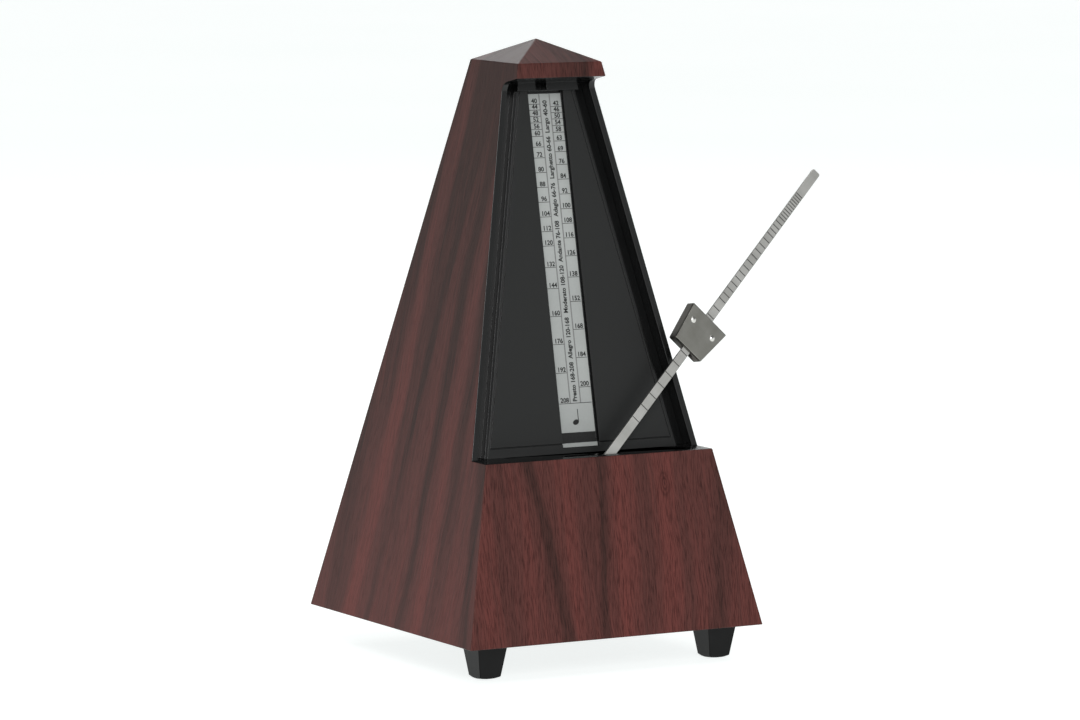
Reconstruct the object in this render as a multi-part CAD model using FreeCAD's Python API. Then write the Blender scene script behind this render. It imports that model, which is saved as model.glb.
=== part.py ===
import FreeCAD, Part

import math
import os

# Pyramid metronome: a hollow moulded case with an open front, a pendulum that
# swings in front of a tempo scale, and a spring-driven crown wheel movement.
# Millimetres. Origin: middle of the footprint, on the surface it stands on.
# X to the right, Y to the back, Z up. The pendulum is at its right-hand extreme.

# ---- driving dimensions: case ----
FOOT_HEIGHT = 12.0
BASE_HALF = 58.0
EAVE_HALF = 16.67
EAVE_Z = FOOT_HEIGHT + 193.96
APEX_Z = FOOT_HEIGHT + 201.6
WALL = 2.3
LEDGE_Z = FOOT_HEIGHT + 60.86
RIM_DEPTH = 9.6
OPENING_TOP = 193.2
OPENING_CORNER = 3.0

TAPER = (BASE_HALF - EAVE_HALF) / (EAVE_Z - FOOT_HEIGHT)
LEAN = math.atan(TAPER)
ROOF_SLOPE = (APEX_Z - EAVE_Z) / EAVE_HALF

# ---- recess insert, measured square to the front face ----
PANEL_DEPTH = 12.0
GROOVE_DEPTH = 15.0
SHEET_BACK = 17.0
PANEL_INSET = 6.6
PANEL_CHAMFER = 1.4
CHAMFER_DROP = 0.43
LINE_INSET = 8.3
LINE_WIDTH = 0.35
LINE_BOTTOM = 67.9
PANEL_TOP = 190.3
HEADER_DEPTH = 10.0
LEDGE_THICKNESS = 2.5
SCALE_TOP = 189.6
SCALE_BOTTOM = 66.9
SCALE_FACE = 13.2
SCALE_THICKNESS = 0.4
COVER_SLOT_X = (27.1, 31.2)

# ---- base and feet ----
BASE_PLATE_Z = (FOOT_HEIGHT + 0.8, FOOT_HEIGHT + 3.8)
BASE_PLATE_HALF = 54.4
FOOT_CENTRE = 45.6
FOOT_PLACES = {
    "foot_front_left": (-FOOT_CENTRE, -FOOT_CENTRE),
    "foot_front_right": (FOOT_CENTRE, -FOOT_CENTRE),
    "foot_rear": (0.0, FOOT_CENTRE),
}
FOOT_PEG_R = 2.5
FOOT_TOP_HALF = 5.9
FOOT_LOW_HALF = 4.05
FOOT_SHOULDER = 0.9
FOOT_DOME_R = 17.0
BASE_BOSS = (50.5, 28.0)

# ---- pendulum ----
PIVOT_Y = -40.07
PIVOT_Z = FOOT_HEIGHT + 53.24
SWING_LEAN = math.radians(8.0)
REST_SWING = 44.4
ROD_WIDTH = 3.4
ROD_THICKNESS = 0.8
ROD_TOP = 141.6
ROD_BOTTOM = -44.0
WEIGHT_TOP = 72.4
WEIGHT_HEIGHT = 14.3
WEIGHT_HALF_TOP = 8.7
WEIGHT_HALF_LOW = 6.65
WEIGHT_T = (-1.3, 3.4)
WEIGHT_POCKET_BACK = 2.5
LEAF_T = (1.4, 1.8)
RIVET_S = WEIGHT_TOP - 4.8
RIVET_X = 4.9
RIVET_R = 0.7
BOB_R = 14.1
BOB_S = -30.0
BOB_T = (-4.0, 5.2)
VERGE_R = 1.0
RUNNING = 0.05

# Tempo law of the pendulum: beats n and the weight's distance x from the
# pivot obey n^2 (TEMPO_D + x^2) = TEMPO_K (TEMPO_C - x).
TEMPO_K = 3.8186e6
TEMPO_C = 141.35
TEMPO_D = 9477.7
TEMPOS = (
    list(range(40, 60, 2)) + list(range(60, 72, 3)) + list(range(72, 120, 4))
    + list(range(120, 144, 6)) + list(range(144, 209, 8))
)

# ---- movement: plates square to X, arbors along X ----
PLATE_X = 17.0
PLATE_THICKNESS = 1.6
PLATE_Y = (-33.0, 39.0)
PLATE_Z = (18.0, 69.0)
PILLARS = [(-29.0, 22.0), (-29.0, 52.0), (35.0, 22.0), (35.0, 63.0)]
PILLAR_R = 2.5
CROWN_T = 20.0
CROWN_TEETH = 15
CROWN_R = 6.5
CROWN_TIP_X = 3.3
ESCAPE_MODULE = 0.5
CROWN_LEAVES = 10
SECOND_TEETH = 60
GREAT_MODULE = 0.6
SECOND_LEAVES = 12
GREAT_TEETH = 72
SECOND_ANGLE = math.radians(-50.0)
WINDING_ANGLE = math.radians(-20.0)
ARBOR_R = 1.2
WINDING_R = 3.0

VERGE_DIR_Y = math.cos(SWING_LEAN)
VERGE_DIR_Z = -math.sin(SWING_LEAN)
CROWN_Y = PIVOT_Y + CROWN_T * VERGE_DIR_Y
CROWN_Z = PIVOT_Z + CROWN_T * VERGE_DIR_Z
ESCAPE_DISTANCE = ESCAPE_MODULE * (SECOND_TEETH + CROWN_LEAVES) / 2
SECOND_Y = CROWN_Y + ESCAPE_DISTANCE * math.cos(SECOND_ANGLE)
SECOND_Z = CROWN_Z + ESCAPE_DISTANCE * math.sin(SECOND_ANGLE)
GREAT_DISTANCE = GREAT_MODULE * (GREAT_TEETH + SECOND_LEAVES) / 2
WINDING_Y = SECOND_Y + GREAT_DISTANCE * math.cos(WINDING_ANGLE)
WINDING_Z = SECOND_Z + GREAT_DISTANCE * math.sin(WINDING_ANGLE)

GREAT_X = (4.0, 5.6)
RATCHET_X = (6.0, 7.5)
SECOND_X = (12.3, 13.5)
CLICK_RADIUS = 14.0
CLICK_ANGLE = math.radians(72.0)
RATCHET_TEETH = 20
RATCHET_R = 8.5
SPRING_X = (-14.0, -5.5)
SPRING_THICKNESS = 0.45
SPRING_PITCH = 2.0
SPRING_INNER_R = 5.6
SPRING_HALF_TURNS = 13
SPRING_POST_R = 1.8

KEY_X = (56.0, 75.0)

BOTH = (-1, 1)


# ---- helpers ----
def vec(x, y, z):
    return FreeCAD.Vector(x, y, z)


X_AXIS = vec(1, 0, 0)
Y_AXIS = vec(0, 1, 0)
Z_AXIS = vec(0, 0, 1)


def box(x, y, z):
    """A box from its two limits along each axis."""
    corner = vec(x[0], y[0], z[0])
    return Part.makeBox(x[1] - x[0], y[1] - y[0], z[1] - z[0], corner)


def bar_x(y, z, x0, x1, r):
    """A round bar along X."""
    return Part.makeCylinder(r, x1 - x0, vec(x0, y, z), X_AXIS)


def bar_y(x, z, y0, y1, r):
    """A round bar along local Y."""
    return Part.makeCylinder(r, y1 - y0, vec(x, y0, z), Y_AXIS)


def prism(points, along):
    """A prism on a polygon, extruded by a vector."""
    return Part.Face(Part.makePolygon(points + points[:1])).extrude(along)


def placed(shape, placement):
    """A copy of a shape, set in another frame."""
    result = shape.copy()
    result.Placement = placement.multiply(result.Placement)
    return result


def joined(shapes):
    return shapes[0].fuse(shapes[1:]).removeSplitter()


def save(name, shape):
    shape.exportStep(os.path.join("parts", name + ".step"))


# Front face frame: X across, Y square into the face, Z up the slope.
FACE = FreeCAD.Placement(
    vec(0, -BASE_HALF, FOOT_HEIGHT), FreeCAD.Rotation(X_AXIS, -math.degrees(LEAN))
)
# Swing frame: origin on the pivot, Y back along the verge, Z up the upright rod.
SWING = FreeCAD.Placement(
    vec(0, PIVOT_Y, PIVOT_Z), FreeCAD.Rotation(X_AXIS, -math.degrees(SWING_LEAN))
)
# The same frame, turned to the right-hand extreme of the swing.
TILTED = SWING.multiply(
    FreeCAD.Placement(vec(0, 0, 0), FreeCAD.Rotation(Y_AXIS, REST_SWING))
)


def tempo_distance(beats):
    """How far the weight's top edge stands from the pivot at a tempo."""
    n2 = beats * beats
    root = TEMPO_K * TEMPO_K - 4 * n2 * (n2 * TEMPO_D - TEMPO_K * TEMPO_C)
    return (math.sqrt(root) - TEMPO_K) / (2 * n2)


def case_half(z):
    """Half width of the case's outside at a height."""
    return BASE_HALF - TAPER * (z - FOOT_HEIGHT)


def face_edge(up, depth, inset):
    """Half width inside the case at a place given in the face frame."""
    rise = up * math.cos(LEAN) - depth * math.sin(LEAN)
    return BASE_HALF - TAPER * rise - inset


def face_outline(depth, inset, up_low, up_high):
    """A symmetric four-cornered outline in the face frame."""
    low = face_edge(up_low, depth, inset)
    high = face_edge(up_high, depth, inset)
    return [
        vec(-low, depth, up_low), vec(low, depth, up_low),
        vec(high, depth, up_high), vec(-high, depth, up_high),
    ]


# ---- case ----
def pyramid(sections, apex_z):
    """A closed solid of stacked square sections that ends in a point."""
    rings = []
    for half, z in sections:
        corners = [(-half, -half), (half, -half), (half, half), (-half, half)]
        rings.append([vec(x, y, z) for x, y in corners])
    apex = vec(0, 0, apex_z)
    loops = [rings[0][::-1]]
    for low, high in zip(rings, rings[1:]):
        for i in range(4):
            j = (i + 1) % 4
            loops.append([low[i], low[j], high[j], high[i]])
    for i in range(4):
        loops.append([rings[-1][i], rings[-1][(i + 1) % 4], apex])
    faces = [Part.Face(Part.makePolygon(p + p[:1])) for p in loops]
    return Part.Solid(Part.Shell(faces))


def case_outside():
    return pyramid([(BASE_HALF, FOOT_HEIGHT), (EAVE_HALF, EAVE_Z)], APEX_Z)


def case_cavity():
    """The hollow inside the case, one wall thickness in from every face."""
    side = WALL / math.cos(LEAN)
    roof = WALL * math.hypot(1, ROOF_SLOPE)
    below = FOOT_HEIGHT - 1.0
    half_low = case_half(below) - side
    peak = APEX_Z - roof
    half_at_foot = case_half(0) - side
    meet_z = (peak - ROOF_SLOPE * half_at_foot) / (1 - ROOF_SLOPE * TAPER)
    half_meet = half_at_foot - TAPER * meet_z
    return pyramid([(half_low, below), (half_meet, meet_z)], peak)


def front_opening():
    """The part of the front that is cut away above the ledge."""
    sin_l, cos_l = math.sin(LEAN), math.cos(LEAN)

    def side_point(depth, up):
        y = -BASE_HALF + up * sin_l + depth * cos_l
        return vec(-70, y, FOOT_HEIGHT + up * cos_l - depth * sin_l)

    ledge_up = (LEDGE_Z - FOOT_HEIGHT + RIM_DEPTH * sin_l) / cos_l
    r = OPENING_CORNER
    slant = r * (1 - math.cos(math.pi / 4))
    low_back = side_point(RIM_DEPTH, ledge_up)
    arc_low = side_point(RIM_DEPTH, OPENING_TOP - r)
    arc_mid = side_point(RIM_DEPTH - slant, OPENING_TOP - slant)
    arc_high = side_point(RIM_DEPTH - r, OPENING_TOP)
    top_front = side_point(-30, OPENING_TOP)
    low_front = vec(-70, -95, LEDGE_Z)
    edges = [
        Part.makeLine(low_front, low_back),
        Part.makeLine(low_back, arc_low),
        Part.Arc(arc_low, arc_mid, arc_high).toShape(),
        Part.makeLine(arc_high, top_front),
        Part.makeLine(top_front, low_front),
    ]
    return Part.Face(Part.Wire(edges)).extrude(vec(140, 0, 0))


def make_case_shell(outside, cavity):
    shell = outside.cut(cavity)
    x, y = BASE_BOSS
    z0 = BASE_PLATE_Z[1]
    blocks = []
    for sx in BOTH:
        for sy in BOTH:
            limits = sorted((sx * (x - 4.5), sx * (x + 7.0)))
            blocks.append(box(limits, (sy * y - 4.5, sy * y + 4.5), (z0, z0 + 12)))
    bosses = joined(blocks).common(outside)
    shell = shell.fuse(bosses)
    for sx in BOTH:
        for sy in BOTH:
            hole = Part.makeCylinder(1.2, 9, vec(sx * x, sy * y, z0 - 0.5), Z_AXIS)
            shell = shell.cut(hole)
    shell = shell.cut(bar_x(WINDING_Y, WINDING_Z, 40, 70, WINDING_R + 1.5))
    return shell.cut(front_opening()).removeSplitter()


def raised_panel():
    """The scale panel: a plateau with bevelled edges, a border line and a channel."""
    low, high = 50.0, PANEL_TOP
    foot = face_outline(PANEL_DEPTH + CHAMFER_DROP, PANEL_INSET, low, high)
    top = face_outline(PANEL_DEPTH, PANEL_INSET + PANEL_CHAMFER, low, high)
    wires = [Part.makePolygon(p + p[:1]) for p in (foot, top)]
    bevel = Part.makeLoft(wires, True, True)
    block = prism(foot, vec(0, SHEET_BACK - foot[0].y, 0))
    panel = block.fuse(bevel)

    groove = vec(0, 0.7, 0)
    start = PANEL_DEPTH - 0.4
    outer = face_outline(start, LINE_INSET, LINE_BOTTOM, PANEL_TOP + 5)
    inner = face_outline(
        start, LINE_INSET + LINE_WIDTH, LINE_BOTTOM + LINE_WIDTH, PANEL_TOP + 4
    )
    panel = panel.cut(prism(outer, groove).cut(prism(inner, groove)))

    depth = SCALE_FACE + SCALE_THICKNESS
    channel = [
        vec(-7.3, 0, SCALE_BOTTOM - 0.3), vec(7.3, 0, SCALE_BOTTOM - 0.3),
        vec(7.0, 0, PANEL_TOP + 1), vec(-7.0, 0, PANEL_TOP + 1),
    ]
    return panel.cut(prism(channel, vec(0, depth, 0)))


def make_recess_insert(cavity):
    """Black moulding that lines the open front: panel, groove, header and ledge."""
    sheet = box((-60, 60), (GROOVE_DEPTH, SHEET_BACK), (50, 195))
    header_low = face_edge(PANEL_TOP, HEADER_DEPTH, PANEL_INSET)
    header_high = face_edge(OPENING_TOP, HEADER_DEPTH, PANEL_INSET)
    header = prism(
        [
            vec(-header_low, HEADER_DEPTH, PANEL_TOP),
            vec(header_low, HEADER_DEPTH, PANEL_TOP),
            vec(header_high, HEADER_DEPTH, OPENING_TOP + 1),
            vec(-header_high, HEADER_DEPTH, OPENING_TOP + 1),
        ],
        vec(0, SHEET_BACK - HEADER_DEPTH, 0),
    )
    catch = box((-4.8, -0.5), (0, 14), (PANEL_TOP + 0.25, OPENING_TOP))
    lid = box((-60, 60), (2.0, SHEET_BACK), (OPENING_TOP, OPENING_TOP + 1.6))
    back = joined([sheet, raised_panel(), header.cut(catch), lid])

    ledge_bottom = LEDGE_Z - LEDGE_THICKNESS
    back = placed(back, FACE).cut(box((-70, 70), (-80, 80), (0, ledge_bottom)))
    front_y = -case_half(LEDGE_Z)
    ledge_back = front_y + SHEET_BACK / math.cos(LEAN) - 0.5
    ledge = box((-60, 60), (-70, ledge_back), (ledge_bottom, LEDGE_Z))
    insert = back.fuse(ledge)

    through = (ledge_bottom - 1, LEDGE_Z + 0.01)
    insert = insert.cut(box((-11.0, 11.0), (-41.4, -36.9), through))
    slot_y = front_y + PANEL_DEPTH / math.cos(LEAN)
    for sx in BOTH:
        limits = sorted((sx * COVER_SLOT_X[0], sx * COVER_SLOT_X[1]))
        insert = insert.cut(box(limits, (slot_y - 1.7, slot_y - 0.2), through))
    return insert.common(cavity).removeSplitter()


def make_scale_plate():
    bar_top = SCALE_BOTTOM + 1.4
    outline = [
        vec(-7.1, SCALE_FACE, SCALE_BOTTOM), vec(7.1, SCALE_FACE, SCALE_BOTTOM),
        vec(7.1, SCALE_FACE, bar_top), vec(6.7, SCALE_FACE, bar_top),
        vec(6.5, SCALE_FACE, SCALE_TOP), vec(-6.5, SCALE_FACE, SCALE_TOP),
        vec(-6.7, SCALE_FACE, bar_top), vec(-7.1, SCALE_FACE, bar_top),
    ]
    return placed(prism(outline, vec(0, SCALE_THICKNESS, 0)), FACE)


# ---- base and feet ----
def bracket_screw_places():
    return [(sx * 27.0, y) for sx in BOTH for y in (-6.0, 16.0)]


def make_base_plate():
    half = BASE_PLATE_HALF
    z0, z1 = BASE_PLATE_Z
    plate = box((-half, half), (-half, half), (z0, z1))
    for x, y in FOOT_PLACES.values():
        plate = plate.cut(Part.makeCylinder(FOOT_PEG_R, 6, vec(x, y, z0 - 1), Z_AXIS))
    for sx in BOTH:
        for sy in BOTH:
            boss = vec(sx * BASE_BOSS[0], sy * BASE_BOSS[1], z0 - 1)
            plate = plate.cut(Part.makeCylinder(1.6, 6, boss, Z_AXIS))
    for x, y in bracket_screw_places():
        plate = plate.cut(Part.makeCylinder(1.25, 6, vec(x, y, z0 - 1), Z_AXIS))
    return plate


def make_foot(x, y):
    """A square tapered foot with a domed underside and a peg into the base plate."""
    top_z = BASE_PLATE_Z[0]
    wires = []
    for half, z in ((FOOT_LOW_HALF, FOOT_SHOULDER), (FOOT_TOP_HALF, top_z)):
        ring = [
            vec(-half, -half, z), vec(half, -half, z),
            vec(half, half, z), vec(-half, half, z),
        ]
        wires.append(Part.makePolygon(ring + ring[:1]))
    body = Part.makeLoft(wires, True, True)
    low = FOOT_LOW_HALF
    body = body.fuse(box((-low, low), (-low, low), (0, FOOT_SHOULDER)))
    dome = Part.makeSphere(FOOT_DOME_R, vec(0, 0, FOOT_DOME_R - 0.12))
    tall = Part.makeCylinder(20, 20, vec(0, 0, FOOT_DOME_R - 0.12), Z_AXIS)
    body = body.common(dome.fuse(tall))
    peg = Part.makeCylinder(FOOT_PEG_R, BASE_PLATE_Z[1] - top_z, vec(0, 0, top_z), Z_AXIS)
    foot = body.fuse(peg).removeSplitter()
    foot.translate(vec(x, y, 0))
    return foot


def screw(head_r, head_h, shank_r, length):
    """A cheese-head screw with a slot: head above Z = 0, shank below."""
    head = Part.makeCylinder(head_r, head_h)
    shank = Part.makeCylinder(shank_r, length, vec(0, 0, -length), Z_AXIS)
    slot = box((-head_r, head_r), (-0.25, 0.25), (head_h * 0.5, head_h + 1))
    return head.cut(slot).fuse(shank)


def set_screw(shape, place, axis):
    """Turn a screw so that its head looks along axis, and set it in place."""
    turn = FreeCAD.Rotation(Z_AXIS, axis)
    return placed(shape, FreeCAD.Placement(place, turn))


def make_base_screws():
    screws = []
    for sx in BOTH:
        for sy in BOTH:
            place = vec(sx * BASE_BOSS[0], sy * BASE_BOSS[1], BASE_PLATE_Z[0])
            screws.append(set_screw(screw(2.6, 0.7, 1.2, 9.0), place, vec(0, 0, -1)))
    return Part.makeCompound(screws)


# ---- movement frame ----
def bridge_screw_places():
    """Side screws of the front bridge, as (y, z)."""
    return [(PLATE_Y[0] + 3.0, PIVOT_Z - 5.6), (PLATE_Y[0] + 3.0, PIVOT_Z - 0.4)]


def rear_cock_screw_places():
    return [(-5.5, CROWN_Z - 2.0), (-5.5, CROWN_Z + 3.0)]


def escape_bracket_screw_places():
    return [(CROWN_Y - 3.5, CROWN_Z + 4.4), (CROWN_Y + 4.5, CROWN_Z + 4.4)]


def foot_bracket_screw_places():
    return [(-4.0, 24.0), (14.0, 24.0)]


def make_plate(side):
    """One movement plate, with bearing holes and screw holes."""
    limits = sorted((side * PLATE_X, side * (PLATE_X + PLATE_THICKNESS)))
    plate = box(limits, PLATE_Y, PLATE_Z)
    plate = plate.makeFillet(3.0, [e for e in plate.Edges if abs(e.tangentAt(
        e.FirstParameter).x) > 0.9])
    holes = [(y, z, 1.3) for y, z in PILLARS]
    holes.append((SECOND_Y, SECOND_Z, ARBOR_R + RUNNING))
    holes.append((WINDING_Y, WINDING_Z, WINDING_R + RUNNING))
    holes += [(y, z, 1.0) for y, z in bridge_screw_places()]
    holes += [(y, z, 1.0) for y, z in foot_bracket_screw_places()]
    if side > 0:
        holes.append((CROWN_Y, CROWN_Z, ARBOR_R + RUNNING))
        holes += [(y, z, 1.0) for y, z in escape_bracket_screw_places()]
    else:
        holes += [(y, z, 1.0) for y, z in rear_cock_screw_places()]
        holes.append((*spring_post_centre(), 1.3))
    for y, z, r in holes:
        plate = plate.cut(bar_x(y, z, limits[0] - 1, limits[1] + 1, r))
    return plate


def make_pillar(y, z):
    """A spacer between the plates, turned down to a tenon at each end."""
    full = bar_x(y, z, -PLATE_X, PLATE_X, PILLAR_R)
    tenon = PLATE_X + PLATE_THICKNESS
    pillar = full.fuse(bar_x(y, z, -tenon, tenon, 1.3))
    for end in BOTH:
        limits = sorted((end * (tenon + 1), end * (tenon - 3.5)))
        pillar = pillar.cut(bar_x(y, z, limits[0], limits[1], 0.75))
    return pillar


def make_pillar_screws():
    screws = []
    for y, z in PILLARS:
        for side in BOTH:
            place = vec(side * (PLATE_X + PLATE_THICKNESS), y, z)
            screws.append(set_screw(screw(2.3, 1.1, 0.75, 3.2), place, vec(side, 0, 0)))
    return Part.makeCompound(screws)


def make_foot_bracket(side):
    """An angle piece that stands a movement plate on the base plate."""
    outer = PLATE_X + PLATE_THICKNESS
    z0 = BASE_PLATE_Z[1]
    upright = box((outer, outer + 1.5), (-9, 19), (z0, 29))
    flat = box((outer, outer + 12), (-9, 19), (z0, z0 + 1.5))
    bracket = upright.fuse(flat).removeSplitter()
    for y, z in foot_bracket_screw_places():
        bracket = bracket.cut(bar_x(y, z, outer - 1, outer + 3, 1.0))
    for y in (-6.0, 16.0):
        hole = Part.makeCylinder(1.3, 4, vec(27.0, y, z0 - 1), Z_AXIS)
        bracket = bracket.cut(hole)
    if side < 0:
        bracket = bracket.mirror(vec(0, 0, 0), X_AXIS)
    return bracket


def make_bracket_screws():
    screws = []
    for x, y in bracket_screw_places():
        place = vec(x, y, BASE_PLATE_Z[1] + 1.5)
        screws.append(set_screw(screw(2.4, 1.2, 1.25, 4.3), place, Z_AXIS))
    outer = PLATE_X + PLATE_THICKNESS + 1.5
    for side in BOTH:
        for y, z in foot_bracket_screw_places():
            place = vec(side * outer, y, z)
            screws.append(set_screw(screw(2.0, 1.1, 1.0, 3.0), place, vec(side, 0, 0)))
    return Part.makeCompound(screws)


def make_front_bridge():
    """U-shaped bridge in front of the plates: the verge's front bearing."""
    outer = PLATE_X + PLATE_THICKNESS
    web = box((-outer - 1.3, outer + 1.3), (4.4, 5.9), (-6.5, 3.0))
    bridge = placed(web, SWING)
    for side in BOTH:
        limits = sorted((side * outer, side * (outer + 1.3)))
        lug = placed(box(limits, (4.4, 13.5), (-6.5, 3.0)), SWING)
        bridge = bridge.fuse(lug)
    bridge = bridge.removeSplitter()
    bridge = bridge.cut(placed(bar_y(0, 0, 3, 7, VERGE_R + RUNNING), SWING))
    for y, z in bridge_screw_places():
        bridge = bridge.cut(bar_x(y, z, -22, 22, 1.0))
    return bridge


def make_bridge_screws():
    screws = []
    outer = PLATE_X + PLATE_THICKNESS + 1.3
    for side in BOTH:
        for y, z in bridge_screw_places():
            place = vec(side * outer, y, z)
            screws.append(set_screw(screw(1.8, 1.0, 1.0, 2.8), place, vec(side, 0, 0)))
    return Part.makeCompound(screws)


def make_rear_cock():
    """L-shaped cock on the left plate: the verge's rear bearing."""
    web = placed(box((-PLATE_X, 3.0), (29.6, 31.1), (-3.0, 4.5)), SWING)
    lug = placed(box((-PLATE_X, -PLATE_X + 1.3), (29.6, 38.5), (-3.0, 4.5)), SWING)
    cock = web.fuse(lug).removeSplitter()
    cock = cock.cut(placed(bar_y(0, 0, 28, 33, VERGE_R + RUNNING), SWING))
    for y, z in rear_cock_screw_places():
        cock = cock.cut(bar_x(y, z, -PLATE_X - 1, -PLATE_X + 3, 0.8))
    return cock


def make_cock_screws():
    screws = []
    outer = PLATE_X + PLATE_THICKNESS
    for y, z in rear_cock_screw_places():
        shape = screw(1.8, 1.0, 0.8, 2.9)
        screws.append(set_screw(shape, vec(-outer, y, z), vec(-1, 0, 0)))
    return Part.makeCompound(screws)


def make_escape_bracket():
    """L-shaped bracket on the right plate: inner bearing of the crown wheel."""
    web = box((9.4, 10.6), (CROWN_Y - 6.5, CROWN_Y + 6.5), (CROWN_Z - 3.0, 68.0))
    top = box((9.4, PLATE_X), (CROWN_Y - 6.5, CROWN_Y + 6.5), (65.6, 68.0))
    bracket = web.fuse(top).removeSplitter()
    bracket = bracket.cut(bar_x(CROWN_Y, CROWN_Z, 8, 12, ARBOR_R + RUNNING))
    for y, z in escape_bracket_screw_places():
        bracket = bracket.cut(bar_x(y, z, PLATE_X - 4.0, PLATE_X + 1, 0.8))
    return bracket


def make_escape_bracket_screws():
    screws = []
    outer = PLATE_X + PLATE_THICKNESS
    for y, z in escape_bracket_screw_places():
        shape = screw(1.8, 1.0, 0.8, 5.0)
        screws.append(set_screw(shape, vec(outer, y, z), vec(1, 0, 0)))
    return Part.makeCompound(screws)


# ---- wheels ----
def toothed_disc(centre, x, module, teeth, phase):
    """A spur wheel square to X. A tooth points at the angle phase from +Y."""
    pitch = 2 * math.pi / teeth
    pitch_r = module * teeth / 2
    half = 0.17 * pitch
    tip_r = pitch_r + 0.8 * module
    root_r = pitch_r - 1.1 * module
    corners = [(root_r, -1.35), (tip_r, -0.55), (tip_r, 0.55), (root_r, 1.35)]
    points = []
    for i in range(teeth):
        for r, share in corners:
            a = phase + i * pitch + share * half
            y = centre[0] + r * math.cos(a)
            z = centre[1] + r * math.sin(a)
            points.append(vec(x[0], y, z))
    return prism(points, vec(x[1] - x[0], 0, 0))


def crossed_out(disc, centre, x, inner_r, outer_r, arms):
    """Cut the openings between the arms of a wheel."""
    y, z = centre
    ring = bar_x(y, z, x[0] - 1, x[1] + 1, outer_r)
    ring = ring.cut(bar_x(y, z, x[0] - 1, x[1] + 1, inner_r))
    for i in range(arms):
        arm = box((x[0] - 2, x[1] + 2), (y, y + outer_r + 1), (z - 1.1, z + 1.1))
        arm.rotate(vec(0, y, z), X_AXIS, i * 360.0 / arms)
        ring = ring.cut(arm)
    return disc.cut(ring)


def make_great_wheel():
    """The spring's wheel, loose on the winding arbor, with a post for the click."""
    centre = (WINDING_Y, WINDING_Z)
    disc = toothed_disc(
        centre, GREAT_X, GREAT_MODULE, GREAT_TEETH, WINDING_ANGLE + math.pi
    )
    disc = crossed_out(disc, centre, GREAT_X, 10.5, 17.5, 5)
    hub = bar_x(*centre, GREAT_X[0] - 3.0, GREAT_X[0] + 0.5, 5.0)
    y, z = click_pivot()
    pad = bar_x(y, z, *GREAT_X, 3.4)
    post = bar_x(y, z, GREAT_X[1] - 0.5, RATCHET_X[1] + 0.4, 1.0)
    wheel = joined([disc, hub, pad, post])
    return wheel.cut(bar_x(*centre, -2, 8, WINDING_R + RUNNING))


def click_pivot():
    y = WINDING_Y + CLICK_RADIUS * math.cos(CLICK_ANGLE)
    z = WINDING_Z + CLICK_RADIUS * math.sin(CLICK_ANGLE)
    return y, z


def make_ratchet_wheel():
    """Saw-toothed wheel that is fast on the winding arbor."""
    points = []
    for i in range(RATCHET_TEETH):
        tip = 2 * math.pi * i / RATCHET_TEETH
        for r, a in ((RATCHET_R, tip), (RATCHET_R - 1.2, tip + 0.02)):
            y = WINDING_Y + r * math.cos(a)
            z = WINDING_Z + r * math.sin(a)
            points.append(vec(RATCHET_X[0], y, z))
    disc = prism(points, vec(RATCHET_X[1] - RATCHET_X[0], 0, 0))
    collar = bar_x(WINDING_Y, WINDING_Z, RATCHET_X[1], RATCHET_X[1] + 2.0, 5.0)
    return disc.fuse(collar).cut(bar_x(WINDING_Y, WINDING_Z, 4, 12, WINDING_R))


def make_click():
    """The pawl on the great wheel: an eye and a beak that points at the ratchet."""
    y, z = click_pivot()
    x = (GREAT_X[1] + 0.4, RATCHET_X[1])
    eye = bar_x(y, z, x[0], x[1], 2.2)
    gap = 0.35
    tip_a = CLICK_ANGLE - math.radians(32.0)
    tip_r = RATCHET_R + gap
    tip = vec(
        x[0], WINDING_Y + tip_r * math.cos(tip_a), WINDING_Z + tip_r * math.sin(tip_a)
    )
    outward = vec(0, math.cos(tip_a), math.sin(tip_a))
    low = vec(x[0], y, z) - vec(0, math.cos(CLICK_ANGLE), math.sin(CLICK_ANGLE)) * 2.1
    high = vec(x[0], y, z) + vec(0, math.cos(CLICK_ANGLE), math.sin(CLICK_ANGLE)) * 1.6
    beak = prism([low, tip, tip + outward * 1.2, high], vec(x[1] - x[0], 0, 0))
    click = eye.fuse(beak).removeSplitter()
    return click.cut(bar_x(y, z, x[0] - 1, x[1] + 1, 1.0 + RUNNING))


def make_second_arbor():
    """Arbor with its pinion, which the great wheel drives."""
    end = PLATE_X + PLATE_THICKNESS
    arbor = bar_x(SECOND_Y, SECOND_Z, -end, end, ARBOR_R)
    pinion = toothed_disc(
        (SECOND_Y, SECOND_Z), (GREAT_X[0] - 1.5, GREAT_X[1] + 1.5), GREAT_MODULE,
        SECOND_LEAVES, WINDING_ANGLE + math.pi / SECOND_LEAVES,
    )
    seat = bar_x(SECOND_Y, SECOND_Z, SECOND_X[0] - 2.0, SECOND_X[0], 3.0)
    shoulder = bar_x(SECOND_Y, SECOND_Z, SECOND_X[0] - 2.0, SECOND_X[1], 2.0)
    return joined([arbor, pinion, seat, shoulder])


def make_second_wheel():
    centre = (SECOND_Y, SECOND_Z)
    disc = toothed_disc(
        centre, SECOND_X, ESCAPE_MODULE, SECOND_TEETH, SECOND_ANGLE + math.pi
    )
    disc = crossed_out(disc, centre, SECOND_X, 4.2, 12.4, 4)
    return disc.cut(bar_x(*centre, SECOND_X[0] - 1, SECOND_X[1] + 1, 2.0))


def make_crown_arbor():
    """Arbor with its pinion, between the escape bracket and the right plate."""
    arbor = bar_x(CROWN_Y, CROWN_Z, 6.0, PLATE_X + PLATE_THICKNESS, ARBOR_R)
    pinion = toothed_disc(
        (CROWN_Y, CROWN_Z), (11.2, 15.5), ESCAPE_MODULE, CROWN_LEAVES,
        SECOND_ANGLE + math.pi / CROWN_LEAVES,
    )
    return joined([arbor, pinion])


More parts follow.
